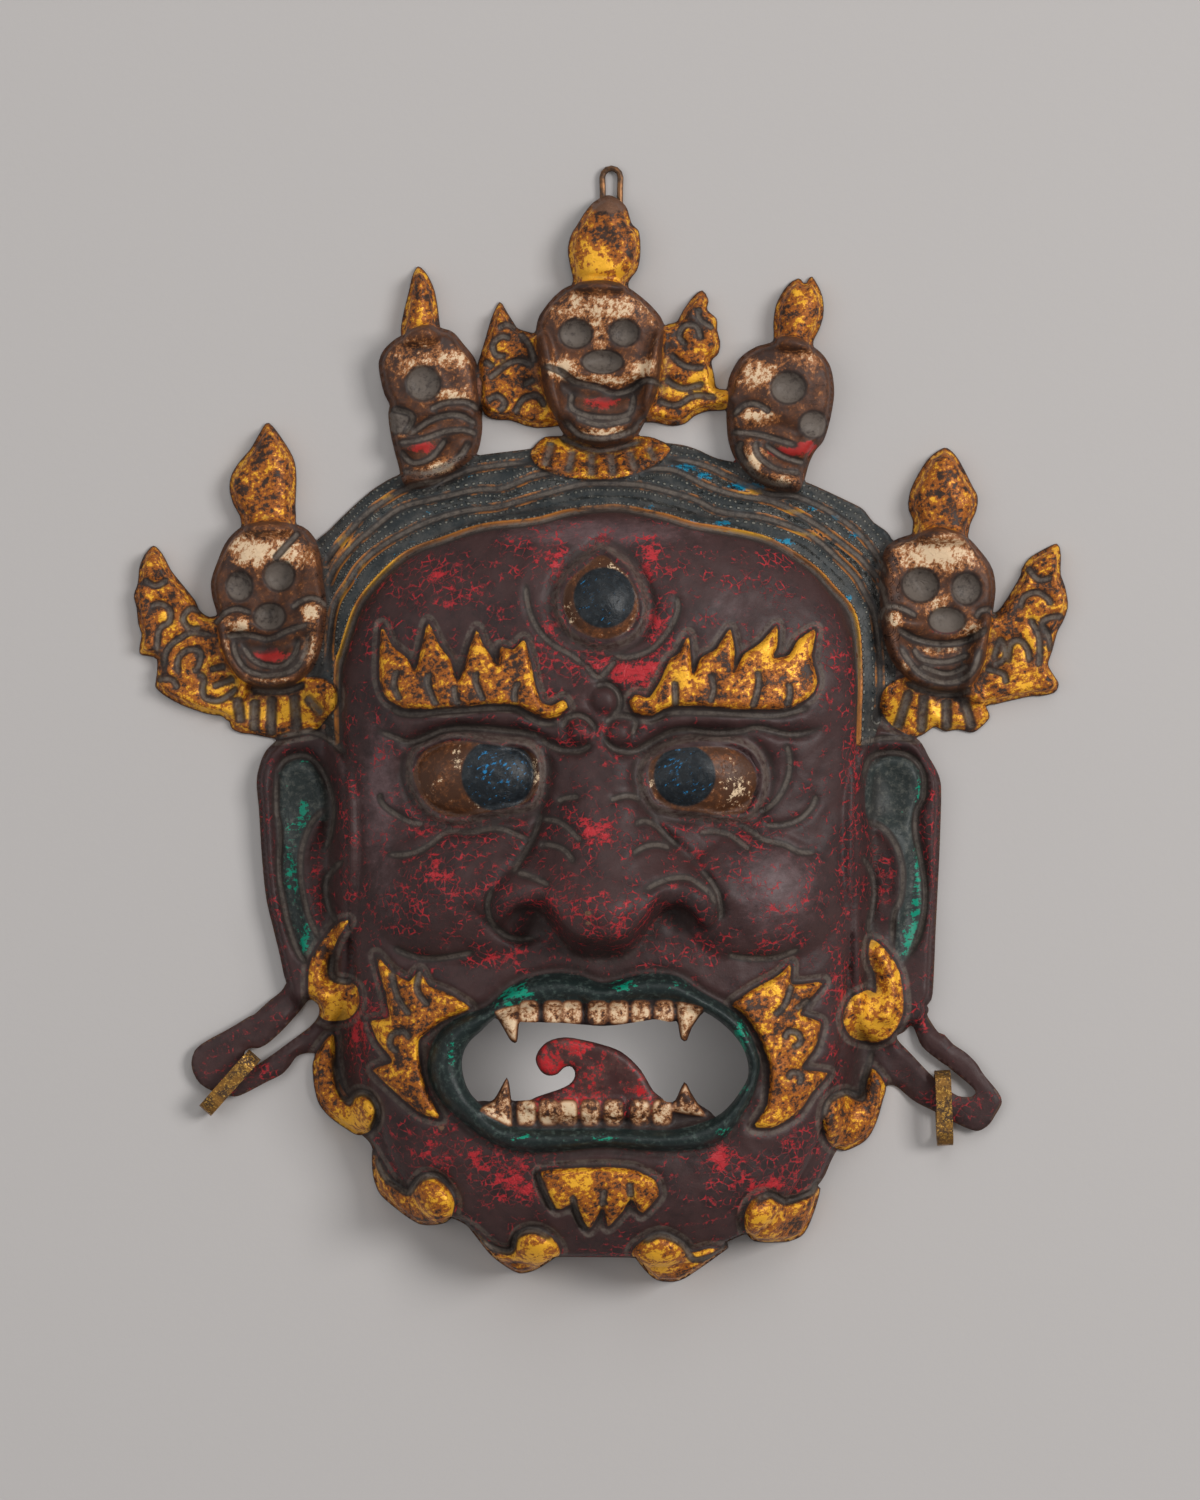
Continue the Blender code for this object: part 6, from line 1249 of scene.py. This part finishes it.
def mask_relief():
    """The embossed sheet: fine front, coarser back behind it, and the cut edge.

    Height is the raised form times the turned edge, plus the rim's own lift; the back is the
    smoothed front less 1.15 times the sheet's thickness times the square root of 1 + slope
    squared, and its edge is the front's less the thickness.
    """
    xs = np.arange(LEFT_END, RIGHT_END, GRID)
    ys = np.arange(LOW_END, HIGH_END, GRID)
    gx, gy = np.meshgrid(xs, ys)
    x, y = gx.ravel(), gy.ravel()
    whole = outline(x, y)
    depth = np.minimum(whole, -mouth(x, y)).reshape(gx.shape)
    rims = [thin(loop, EDGE_FINENESS) for loop in contour(whole.reshape(gx.shape), xs, ys)]
    loops = [thin(loop, EDGE_FINENESS) for loop in contour(depth, xs, ys)]
    edge = [p for loop in loops for p in loop]

    chased = [curve(points, closed=False) for group in LINES for points in group[0]]
    inner = scatter(MESH, depth, xs, ys, FRONT_CLEAR, chased)
    corners, faces = triangulate([tuple(p) for p in edge] + inner, loops)
    x, y = corners.T
    top, marks = front(x, y, rims)

    field = front(gx.ravel(), gy.ravel(), rims)[0].reshape(gx.shape)
    slope_y, slope_x = np.gradient(field, GRID)
    slope = blurred(np.hypot(slope_x, slope_y), 1)
    marks["bump_out"] = surface(x, y, xs, ys, field - blurred(field, 4)) * marks["edge"]

    behind = scatter(BACK_MESH, depth, xs, ys, BACK_CLEAR)
    back_corners, back_faces = triangulate([tuple(p) for p in edge] + behind, loops)
    bx, by = back_corners.T
    low_field = -blurred(-np.minimum(field, np.roll(field, 1, 0)), 1)
    lean = np.minimum(surface(bx, by, xs, ys, slope), STEEPEST)
    thick = drawn(SHEET) * np.sqrt(1 + lean ** 2)
    bottom = surface(bx, by, xs, ys, low_field) - BACK_ROOM * thick
    count = len(edge)
    bottom[:count] = top[:count] - drawn(SHEET)
    bottom = np.maximum(bottom, 0.0)

    back_faces = back_faces[:, ::-1] + len(corners)
    sides = {}
    for a, b, c in faces[(faces < count).sum(1) >= 2]:
        for pair in ((a, b), (b, c), (c, a)):
            sides[pair] = True
    wall = []
    for p, q in sides:
        if p < count and q < count and (q, p) not in sides:
            wall += [(p, p + len(corners), q + len(corners)), (p, q + len(corners), q)]
    verts = np.vstack([np.column_stack([x, y, top]), np.column_stack([bx, by, bottom])]) * UNIT
    polygons = np.vstack([faces, back_faces, np.array(wall)])
    rear = len(back_corners)
    marks = {key: np.concatenate([values, np.zeros(rear)]) for key, values in marks.items()}
    marks["rear"] = np.concatenate([np.zeros(len(corners)), np.ones(rear)])
    piece = mesh_piece("mask_relief", verts, polygons, marks)
    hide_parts("mask_sheet")
    return piece


class Value:
    """A node's output, with arithmetic that lays down math nodes."""

    def __init__(self, paint, socket):
        self.paint, self.socket = paint, socket

    def math(self, operation, *others):
        return self.paint.node("ShaderNodeMath", {"operation": operation}, (self, *others))

    def __add__(self, other):
        return self.math("ADD", other)

    def __sub__(self, other):
        return self.math("SUBTRACT", other)

    def __mul__(self, other):
        return self.math("MULTIPLY", other)

    def __rsub__(self, other):
        return self.paint.node("ShaderNodeMath", {"operation": "SUBTRACT"}, (other, self))

    def __abs__(self):
        return self.math("ABSOLUTE")

    __radd__, __rmul__ = __add__, __mul__

    def step(self, low, high):
        """0 below low, 1 above high, smooth between."""
        return self.paint.node("ShaderNodeMapRange", {"interpolation_type": "SMOOTHSTEP"},
                               {"Value": self, "From Min": low, "From Max": high}, "Result")

    def either(self, other):
        return self.math("MAXIMUM", other)

    def both(self, other):
        return self.math("MINIMUM", other)


class Paint:
    """Layers of colour and roughness on one material, each laid over the last by a mask."""

    def __init__(self, name, colour, roughness, metallic=0.0):
        self.material = bpy.data.materials.new(name)
        self.material.use_nodes = True
        self.tree = self.material.node_tree
        self.shader = self.tree.nodes["Principled BSDF"]
        self.where = self.node("ShaderNodeTexCoord", output="Object")
        self.colour, self.rough, self.metal = (*colour, 1.0), roughness, metallic

    def set(self, node, sockets):
        """Give sockets, by place or by name, the numbers or the links that they take."""
        for key, value in sockets:
            if isinstance(value, Value):
                self.tree.links.new(value.socket, node.inputs[key])
            else:
                node.inputs[key].default_value = value

    def node(self, kind, settings=None, sockets=(), output=0):
        """Any node: its settings first, then its sockets; one output comes back."""
        node = self.tree.nodes.new(kind)
        for key, setting in (settings or {}).items():
            setattr(node, key, setting)
        self.set(node, sockets.items() if isinstance(sockets, dict) else enumerate(sockets))
        return Value(self, node.outputs[output])

    def mark(self, name):
        return self.node("ShaderNodeAttribute", {"attribute_name": name}, output="Fac")

    def noise(self, size, detail=4.0, rough=0.6, stretch=None, turn=0.0):
        """Noise around 0.5 whose features are about size millimetres across."""
        place = self.where
        if stretch:
            place = self.node("ShaderNodeMapping", {"vector_type": "TEXTURE"},
                              {"Vector": place, "Rotation": (0, 0, np.radians(turn)),
                               "Scale": (stretch, 1, 1)})
        return self.node("ShaderNodeTexNoise", None,
                         {"Vector": place, "Scale": 1000.0 / size, "Detail": detail,
                          "Roughness": rough})

    def cells(self, size, warp):
        """Distance to the edge of a warped cell pattern, in cell widths."""
        shift = self.node("ShaderNodeTexNoise", None,
                          {"Vector": self.where, "Scale": 600.0 / size}, "Color")
        place = self.node("ShaderNodeVectorMath", {"operation": "MULTIPLY_ADD"},
                          (shift, (warp * size / 1000,) * 3, self.where))
        return self.node("ShaderNodeTexVoronoi", {"feature": "DISTANCE_TO_EDGE"},
                         {"Vector": place, "Scale": 1000.0 / size}, "Distance")

    def blend(self, mask, low, high):
        """A colour between two, by a mask."""
        low, high = (c if isinstance(c, Value) or len(c) == 4 else (*c, 1.0) for c in (low, high))
        return self.node("ShaderNodeMix", {"data_type": "RGBA"}, {0: mask, 6: low, 7: high}, 2)

    def lay(self, mask, colour, roughness=None, metallic=None):
        """Cover with a colour where the mask is 1."""
        self.colour = self.blend(mask, self.colour, colour)
        if roughness is not None:
            self.rough = mask * (roughness - self.rough) + self.rough
        if metallic is not None:
            self.metal = mask * (metallic - self.metal) + self.metal

    def done(self, height, distance=0.001):
        """Join the layers to the shader, with a bump from a height in units of distance."""
        bump = self.node("ShaderNodeBump", None, {"Distance": distance, "Height": height},
                         "Normal")
        self.set(self.shader, {"Base Color": self.colour, "Roughness": self.rough,
                               "Metallic": self.metal, "Normal": bump}.items())
        return self.material


def linear(red, green, blue):
    """A colour given in screen values from 0 to 255, as linear light."""
    return tuple(((c / 255 + 0.055) / 1.055) ** 2.4 if c > 10 else c / 3295
                 for c in (red, green, blue))


# Colours of the paint, from the face to the back, and of the fittings and the board
PLUM = linear(63, 41, 40)
SOOT = linear(44, 30, 30)
# grey of worn paint, also laid as a painted sheen on the right cheek
PLUM_SHEEN_GREY = linear(110, 87, 89)
PLUM_DARK = linear(36, 26, 26)
PLUM_PALE = linear(112, 88, 84)
CRIMSON = linear(182, 38, 46)
DULL_RED = linear(122, 40, 44)
GROOVE = linear(106, 96, 87)
GROOVE_DARK = linear(50, 42, 39)
GOLD = linear(246, 180, 48)
AMBER = linear(166, 92, 26)
UMBER = linear(76, 46, 28)
GILDING_BASE = linear(46, 31, 24)
HAIR = linear(72, 72, 70)
HAIR_DARK = linear(40, 46, 48)
DOT_HIGHLIGHT = linear(142, 140, 130)
ORANGE_GOLD = linear(204, 126, 48)
TURQUOISE = linear(8, 126, 160)
GREEN = linear(0, 140, 112)
LIP = linear(28, 38, 37)
LIP_SHEEN = linear(74, 88, 82)
JAW_DARK = linear(40, 26, 25)
CREAM = linear(228, 200, 164)
BONE_TAN = linear(178, 112, 60)
BONE_BROWN = linear(104, 61, 34)
BONE_DARK = linear(58, 38, 30)
SKULL_RED = linear(168, 44, 40)
BOWL_GREY = linear(104, 94, 86)
TONGUE_RED = linear(186, 34, 40)
TONGUE_DARK = linear(62, 34, 33)
TONGUE_PALE = linear(92, 62, 57)
EAR_DARK = linear(44, 51, 50)
EAR_GREY = linear(88, 90, 84)
LID_GREY = linear(102, 90, 82)
EYE_BROWN = linear(136, 80, 42)
IRIS_DARK = linear(22, 26, 30)
IRIS_GREY = linear(56, 62, 66)
IRIS_RING = linear(24, 32, 38)
IRIS_BLUE = linear(16, 116, 168)
COPPER = linear(118, 84, 64)
EDGE_COPPER = linear(96, 70, 52)
BACK_COPPER = linear(96, 62, 46)
BRASS = linear(134, 96, 48)
BRASS_BROWN = linear(70, 50, 34)
BRASS_RUBBED = linear(196, 150, 72)
WIRE_COPPER = linear(126, 88, 56)
WIRE_BROWN = linear(72, 52, 38)
BOARD_GREY = linear(187, 183, 181)


def painted_sheet():
    """Worn lacquer over copper: crackled red on dark plum, gilding, bone, hair and lips."""
    p = Paint("painted_sheet", PLUM, 0.52)
    edge, chased, out = p.mark("edge"), p.mark("chase"), p.mark("bump_out")
    coarse, medium, fine = p.noise(26, 3), p.noise(7, 6, 0.68), p.noise(1.9, 5, 0.74)
    patch, grit, cloud = (medium - 0.5) * 1.6, (fine - 0.5) * 1.9, coarse - 0.5
    torn = (p.noise(3.6, 9, 0.78, 1.7, 14) - 0.5) * 2.4
    grain = (p.noise(1.2, 6, 0.8, 1.6, 60) - 0.5) * 2.2

    # the face: plum worn dark or grey, the grey also a painted sheen on the right cheek; crimson
    # left in the crackle and in flakes
    p.lay((cloud + patch).step(-0.25, 0.3), SOOT)
    p.lay((p.mark("grey_wear_and_sheen").both(1.0) + torn * 0.5).step(0.3, 1.0) * 0.75, PLUM_SHEEN_GREY, 0.46)
    p.lay((grit + patch * 0.4).step(0.28, 0.6) * 0.5, GROOVE_DARK)
    p.lay(grain.step(-0.12, -0.5) * 0.55, PLUM_DARK)
    p.lay((grain + torn * 0.3).step(0.2, 0.6) * 0.4, PLUM_PALE)
    worn = p.mark("red_wear") * 0.5 + cloud + patch * 0.55
    crackle = (p.cells(2.6, 0.9) - grit * 0.14).step(0.12, 0.03)
    veins = crackle * (worn + patch * 0.5 + torn * 0.8).step(0.0, 0.45)
    flakes = (worn + torn).step(0.48, 0.64)
    p.lay(veins * 0.6, DULL_RED)
    p.lay(flakes.either(veins * (grit + torn).step(-0.1, 0.3)) * 0.92, CRIMSON, 0.44)

    # hair bands, their punched dots and gilt edges
    hair = p.mark("hair").step(-0.15, 0.25)
    band, run = p.mark("band_gap"), p.mark("band_run")
    p.lay(hair, p.blend((patch + grit * 0.5).step(-0.25, 0.3), HAIR_DARK, HAIR), 0.5)
    rows = abs(band - 2.1).both(abs(band - 4.3))
    dots = (run * (1 / 1.7)).math("FRACT") - 0.5
    dots = (dots * dots * 2.9 + rows * rows).step(0.26, 0.06) * hair
    # the punched dots are painted light grey, a painted highlight on their raised tops
    p.lay(dots * grit.step(-0.3, 0.3) * 0.8, DOT_HIGHLIGHT)
    rubbed = p.mark("band_gold") + patch + grit * 0.6 + cloud
    thin_edge = abs(band - 1.25).step(0.55, 0.15)
    p.lay(hair * thin_edge * rubbed.step(0.0, 0.45) * 0.8, ORANGE_GOLD, 0.4, 0.2)
    blue = (p.mark("blue_wear") * 0.8 + patch * 0.6 + grit * 1.1).step(0.52, 0.72)
    p.lay(hair * blue, TURQUOISE, 0.42)
    p.lay(hair * (1.8 - band).step(0.0, 0.9) * rubbed.step(0.55, 0.9), GOLD, 0.4, 0.3)
    rim = abs(p.mark("brow_edge") + 0.8).step(1.2, 0.5) * hair
    p.lay(rim * (rubbed + 0.3).step(-0.1, 0.35), ORANGE_GOLD, 0.4, 0.2)
    p.lay(rim * rubbed.step(0.2, 0.6), GOLD, 0.4, 0.3)

    # lips, mouth, teeth and tongue
    lip = p.mark("lip").step(-0.5, 0.3)
    # the lips' pale mottling is a painted highlight over their dark green-black
    p.lay(lip, p.blend((grit + patch * 0.4).step(-0.05, 0.5), LIP, LIP_SHEEN), 0.42)
    p.lay(p.mark("jaw").step(-0.1, 0.5), JAW_DARK, 0.5)
    scratch = (p.noise(1.5, 5, 0.7, 3.5, 8) - 0.5) * 1.8
    green = (p.mark("green_wear") * 0.74 + patch * 0.6 + grit + scratch * 1.2).step(0.6, 0.8)
    p.lay(lip * green, GREEN, 0.42)
    tongue = p.mark("tongue")
    p.lay(tongue.step(-0.1, 0.3), p.blend(patch.step(-0.2, 0.3), TONGUE_DARK, TONGUE_PALE),
          0.42)
    p.lay(tongue.step(0.1, 0.8) * (patch + grit * 0.9 + cloud).step(-0.06, 0.24),
          TONGUE_RED, 0.38)
    teeth = p.mark("teeth")
    bitten = patch * 1.0 + grit * 0.9
    p.lay(teeth.step(0.0, 0.4), p.blend(bitten.step(-0.4, 0.1), BONE_DARK, BONE_BROWN), 0.5)
    p.lay(teeth.step(0.2, 1.1) * bitten.step(-0.25, 0.1), BONE_TAN, 0.46)
    p.lay(teeth.step(0.3, 1.3) * bitten.step(-0.12, 0.2), CREAM, 0.44)

    # ears
    concha = p.mark("concha").step(-0.2, 0.5)
    p.lay(concha, p.blend(grit.step(-0.1, 0.4), EAR_DARK, EAR_GREY), 0.5)
    p.lay(concha * green, GREEN, 0.44)

    # eyes
    lid = p.mark("lid")
    p.lay(abs(lid - 0.3).step(1.7, 0.5) * (grit + torn * 0.5).step(-0.5, 0.3) * 0.85,
          LID_GREY, 0.6)
    p.lay(abs(lid + 2.2).step(1.0, 0.1) * 0.6, GROOVE_DARK, 0.6)
    eyeball = p.mark("eyeball").step(-0.2, 0.5)
    p.lay(eyeball, p.blend((patch + grit * 0.9).step(-0.1, 0.5), UMBER, EYE_BROWN), 0.42)
    p.lay(eyeball * (p.mark("eye_cream") * 0.62 + patch * 0.5 + grit * 1.5).step(0.42, 0.66),
          CREAM, 0.42)
    iris = p.mark("iris")
    disc = eyeball * (10.6 - iris).step(0.0, 0.8)
    p.lay(disc, p.blend(grit.step(-0.1, 0.5), IRIS_DARK, IRIS_GREY), 0.4)
    rings = (iris * 0.55).math("FRACT") - 0.5
    p.lay(disc * abs(rings).step(0.12, 0.34) * 0.5, IRIS_RING, 0.4)
    speck = (p.noise(0.9, 3, 0.6, 2.2, 35) - 0.5) * 3.2
    flecks = (p.mark("iris_blue") * 0.42 + patch * 0.4 + grit * 0.4 + speck).step(0.56, 0.8)
    flecks = flecks * (9.8 - iris).step(0.0, 1.0) * (0.2 + abs(rings).step(0.1, 0.3))
    p.lay(disc * flecks * (iris - 1.5).step(0.0, 1.0), IRIS_BLUE, 0.36)

    # skulls
    bone = p.mark("bone").step(0.0, 0.5)
    p.lay(bone, p.blend((patch + grit * 0.4).step(-0.3, 0.3), BONE_DARK, BONE_BROWN), 0.54)
    pale = p.mark("cream") * 0.55 + patch * 0.8 + grit * 0.7 + grain * 0.7
    inside = (p.mark("bone") + patch * 2.0).step(0.8, 3.6)
    p.lay(bone * inside * pale.step(0.16, 0.44) * 0.85, BONE_TAN, 0.52)
    dark = (torn * 0.7 + patch * 0.8 - p.mark("cream") * 0.5).step(0.0, 0.25)
    p.lay(bone * dark * 0.8, BONE_DARK, 0.56)
    p.lay(bone * inside * pale.step(0.42, 0.6) * 0.94, CREAM, 0.5)
    blood = p.mark("skull_red") * 0.8 + patch + grit * 0.7
    p.lay(bone * blood.step(0.5, 0.8), SKULL_RED, 0.46)
    # painted shade darkens where the skulls' surface is concave
    p.lay(bone * (patch - out).step(0.5, 1.4) * 0.8, GROOVE_DARK, 0.6)
    socket = p.mark("socket")
    p.lay(bone * socket.step(-0.9, 0.0) * 0.85, GROOVE_DARK, 0.6)
    p.lay(bone * socket.step(0.0, 0.9) * (grit + patch).step(-0.6, 0.1), BOWL_GREY, 0.6)

    # gilding, rubbed through to umber in flecks and hatched across
    gilded = p.mark("gold").step(0.0, 0.35) * (1.0 - bone)
    border = abs(p.mark("gold") - 1.1).step(1.0, 0.2)
    flame = p.mark("flame").step(-0.2, 0.4)
    streak = (p.noise(1.1, 4, 0.6, 3.6, 24) - 0.5) * 2.4
    keep = patch * 1.1 + grit * 0.9 + torn * 0.3 + border * flame * 0.4 + flame * streak
    keep = keep + p.mark("gilt_wear") * 0.34 - flame * 0.05
    p.lay(gilded, p.blend(grit.step(-0.3, 0.4), GILDING_BASE, UMBER), 0.5)
    p.lay(gilded * keep.step(-0.22, 0.06), AMBER, 0.44, 0.15)
    p.lay(gilded * keep.step(0.12, 0.3) * 0.95, GOLD, 0.4, 0.3)
    around = abs(p.mark("gold") + 1.6).step(1.1, 0.4) * (1.0 - hair) * (1.0 - lip) * (1.0 - bone)
    p.lay(around * (grit + torn * 0.5).step(-0.45, 0.25) * 0.7, GROOVE, 0.66)
    p.lay(abs(p.mark("gold") + 0.1).step(0.5, 0.1) * (1.0 - bone) * 0.8, GROOVE_DARK, 0.6)

    # dirt along the chased lines, painted shade and grey-taupe grime in the concave hollows, bare
    # metal at the cut edge
    p.lay(chased.step(-0.05, 0.35) * 0.9 * (1.0 - hair * 0.3), GROOVE_DARK, 0.6, 0.0)
    dusty = (grit + torn * 0.6).step(-0.5, 0.3) * (0.62 + (hair.either(bone).either(gilded)) * 0.3)
    p.lay(chased.step(0.35, 0.8) * dusty, GROOVE, 0.66, 0.0)
    # painted shade and grime where the front is concave, off the lips and skulls
    hollow = (patch * 0.5 - out).step(0.7, 1.8) * (1.0 - lip) * (1.0 - bone)
    p.lay(hollow * 0.45, p.blend(grit.step(0.0, 0.5) * 0.6, GROOVE_DARK, GROOVE), 0.66, 0.0)
    bare = (p.mark("bare") + patch * 0.6 + grit * 0.5).step(0.5, 0.8)
    p.lay(bare, COPPER, 0.45, 0.4)
    p.lay(edge.step(0.12, 0.0) * patch.step(-0.3, 0.2) * 0.8, EDGE_COPPER, 0.5, 0.3)
    p.lay(p.mark("rear").step(0.4, 0.6), BACK_COPPER, 0.5, 0.8)

    height = patch * 0.09 + grit * 0.08 - veins * 0.10 + dots * 0.55 - gilded * 0.05
    height = height + gilded * keep.step(-0.22, 0.06) * 0.06 - flakes * 0.05
    p.rough = p.rough + grit * 0.10 + cloud * 0.08
    p.set(p.shader, {"Coat Weight": 0.05, "Coat Roughness": 0.35,
                     "Specular IOR Level": 0.28}.items())
    return p.done(height, 0.0011)


def old_brass():
    """Dull pitted brass, brown in patches."""
    p = Paint("old_brass", BRASS, 0.45, 0.85)
    medium, fine = p.noise(4, 5, 0.6), p.noise(0.8, 4, 0.7)
    p.lay(medium.step(0.45, 0.6), BRASS_BROWN, 0.6, 0.5)
    p.lay((fine + medium * 0.3).step(0.66, 0.8), BRASS_RUBBED, 0.35, 0.9)
    return p.done(medium * 0.5 + fine * 0.5, 0.0004)


def copper_wire():
    """Tarnished copper wire."""
    p = Paint("copper_wire", WIRE_COPPER, 0.45, 0.8)
    medium = p.noise(3, 5, 0.6)
    p.lay(medium.step(0.42, 0.62), WIRE_BROWN, 0.58, 0.5)
    return p.done(medium, 0.0003)


def grey_board():
    """Matt grey board with a faint grain."""
    p = Paint("grey_board", BOARD_GREY, 0.9)
    return p.done(p.noise(3.0, 4, 0.6), 0.00005)


relief = mask_relief()
relief.data.materials.append(painted_sheet())
brass = old_brass()
for node, material in (("earring_left", brass), ("earring_right", brass),
                       ("hanging_loop", copper_wire())):
    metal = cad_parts[node].data.materials
    metal.clear()
    metal.append(material)

# The grey board that the mask lies on, in metres from its middle to its sides
FLOOR_REACH = 4.0
floor_mesh = bpy.data.meshes.new("floor")
floor_mesh.from_pydata([(FLOOR_REACH * i, FLOOR_REACH * j, 0)
                        for i, j in ((-1, -1), (1, -1), (1, 1), (-1, 1))], [], [(0, 1, 2, 3)])
floor = bpy.data.objects.new("floor", floor_mesh)
bpy.context.scene.collection.objects.link(floor)
floor_mesh.materials.append(grey_board())

# Camera straight above, its frame as tall as the photograph's 1500 pixels of 0.318 mm
FRAME_TALL = 1500 * 0.318 * UNIT
FRAME_MIDDLE = (-0.3 * UNIT, -8.4 * UNIT)
TRUE_SCALE_HEIGHT = 0.012
LENS, SENSOR = 100.0, 24.0
camera_data = bpy.data.cameras.new("camera")
camera_data.lens = LENS
camera_data.sensor_fit = "AUTO"
camera_data.sensor_width = SENSOR
camera = bpy.data.objects.new("camera", camera_data)
bpy.context.scene.collection.objects.link(camera)
camera.location = (*FRAME_MIDDLE, TRUE_SCALE_HEIGHT + FRAME_TALL * LENS / SENSOR)
bpy.context.scene.camera = camera


WHITE = (1.0, 1.0, 1.0)
SKY_STRENGTH = 0.30


def lamp(name, place, size, watts, colour=WHITE):
    """A soft square light that faces the mask."""
    data = bpy.data.lights.new(name, "AREA")
    data.shape, data.size, data.energy, data.color = "SQUARE", size, watts, colour
    light = bpy.data.objects.new(name, data)
    light.location = place
    aim = Vector((0, 0, 0)) - Vector(place)
    light.rotation_euler = aim.to_track_quat("-Z", "Y").to_euler()
    bpy.context.scene.collection.objects.link(light)
    return light


lamp("key", (2.4, 0.72, 2.4), 1.3, 76.0, (1.0, 0.99, 0.98))
lamp("fill", (-2.2, 0.3, 2.8), 2.4, 24.0, (0.98, 0.99, 1.0))
lamp("top", (0.15, 2.5, 2.7), 2.2, 22.0)
# Daylight that reaches the board behind the open mouth; it shines straight down
glow = lamp("behind_mouth", (-0.002, -0.112, 0.026), 0.05, 0.0070)
glow.rotation_euler = (0, 0, 0)
glow.visible_camera = False
world = bpy.data.worlds.new("world")
world.use_nodes = True
sky = world.node_tree.nodes["Background"].inputs
sky["Color"].default_value = (*WHITE, 1.0)
sky["Strength"].default_value = SKY_STRENGTH
bpy.context.scene.world = world
bpy.context.scene.view_settings.view_transform = "Standard"
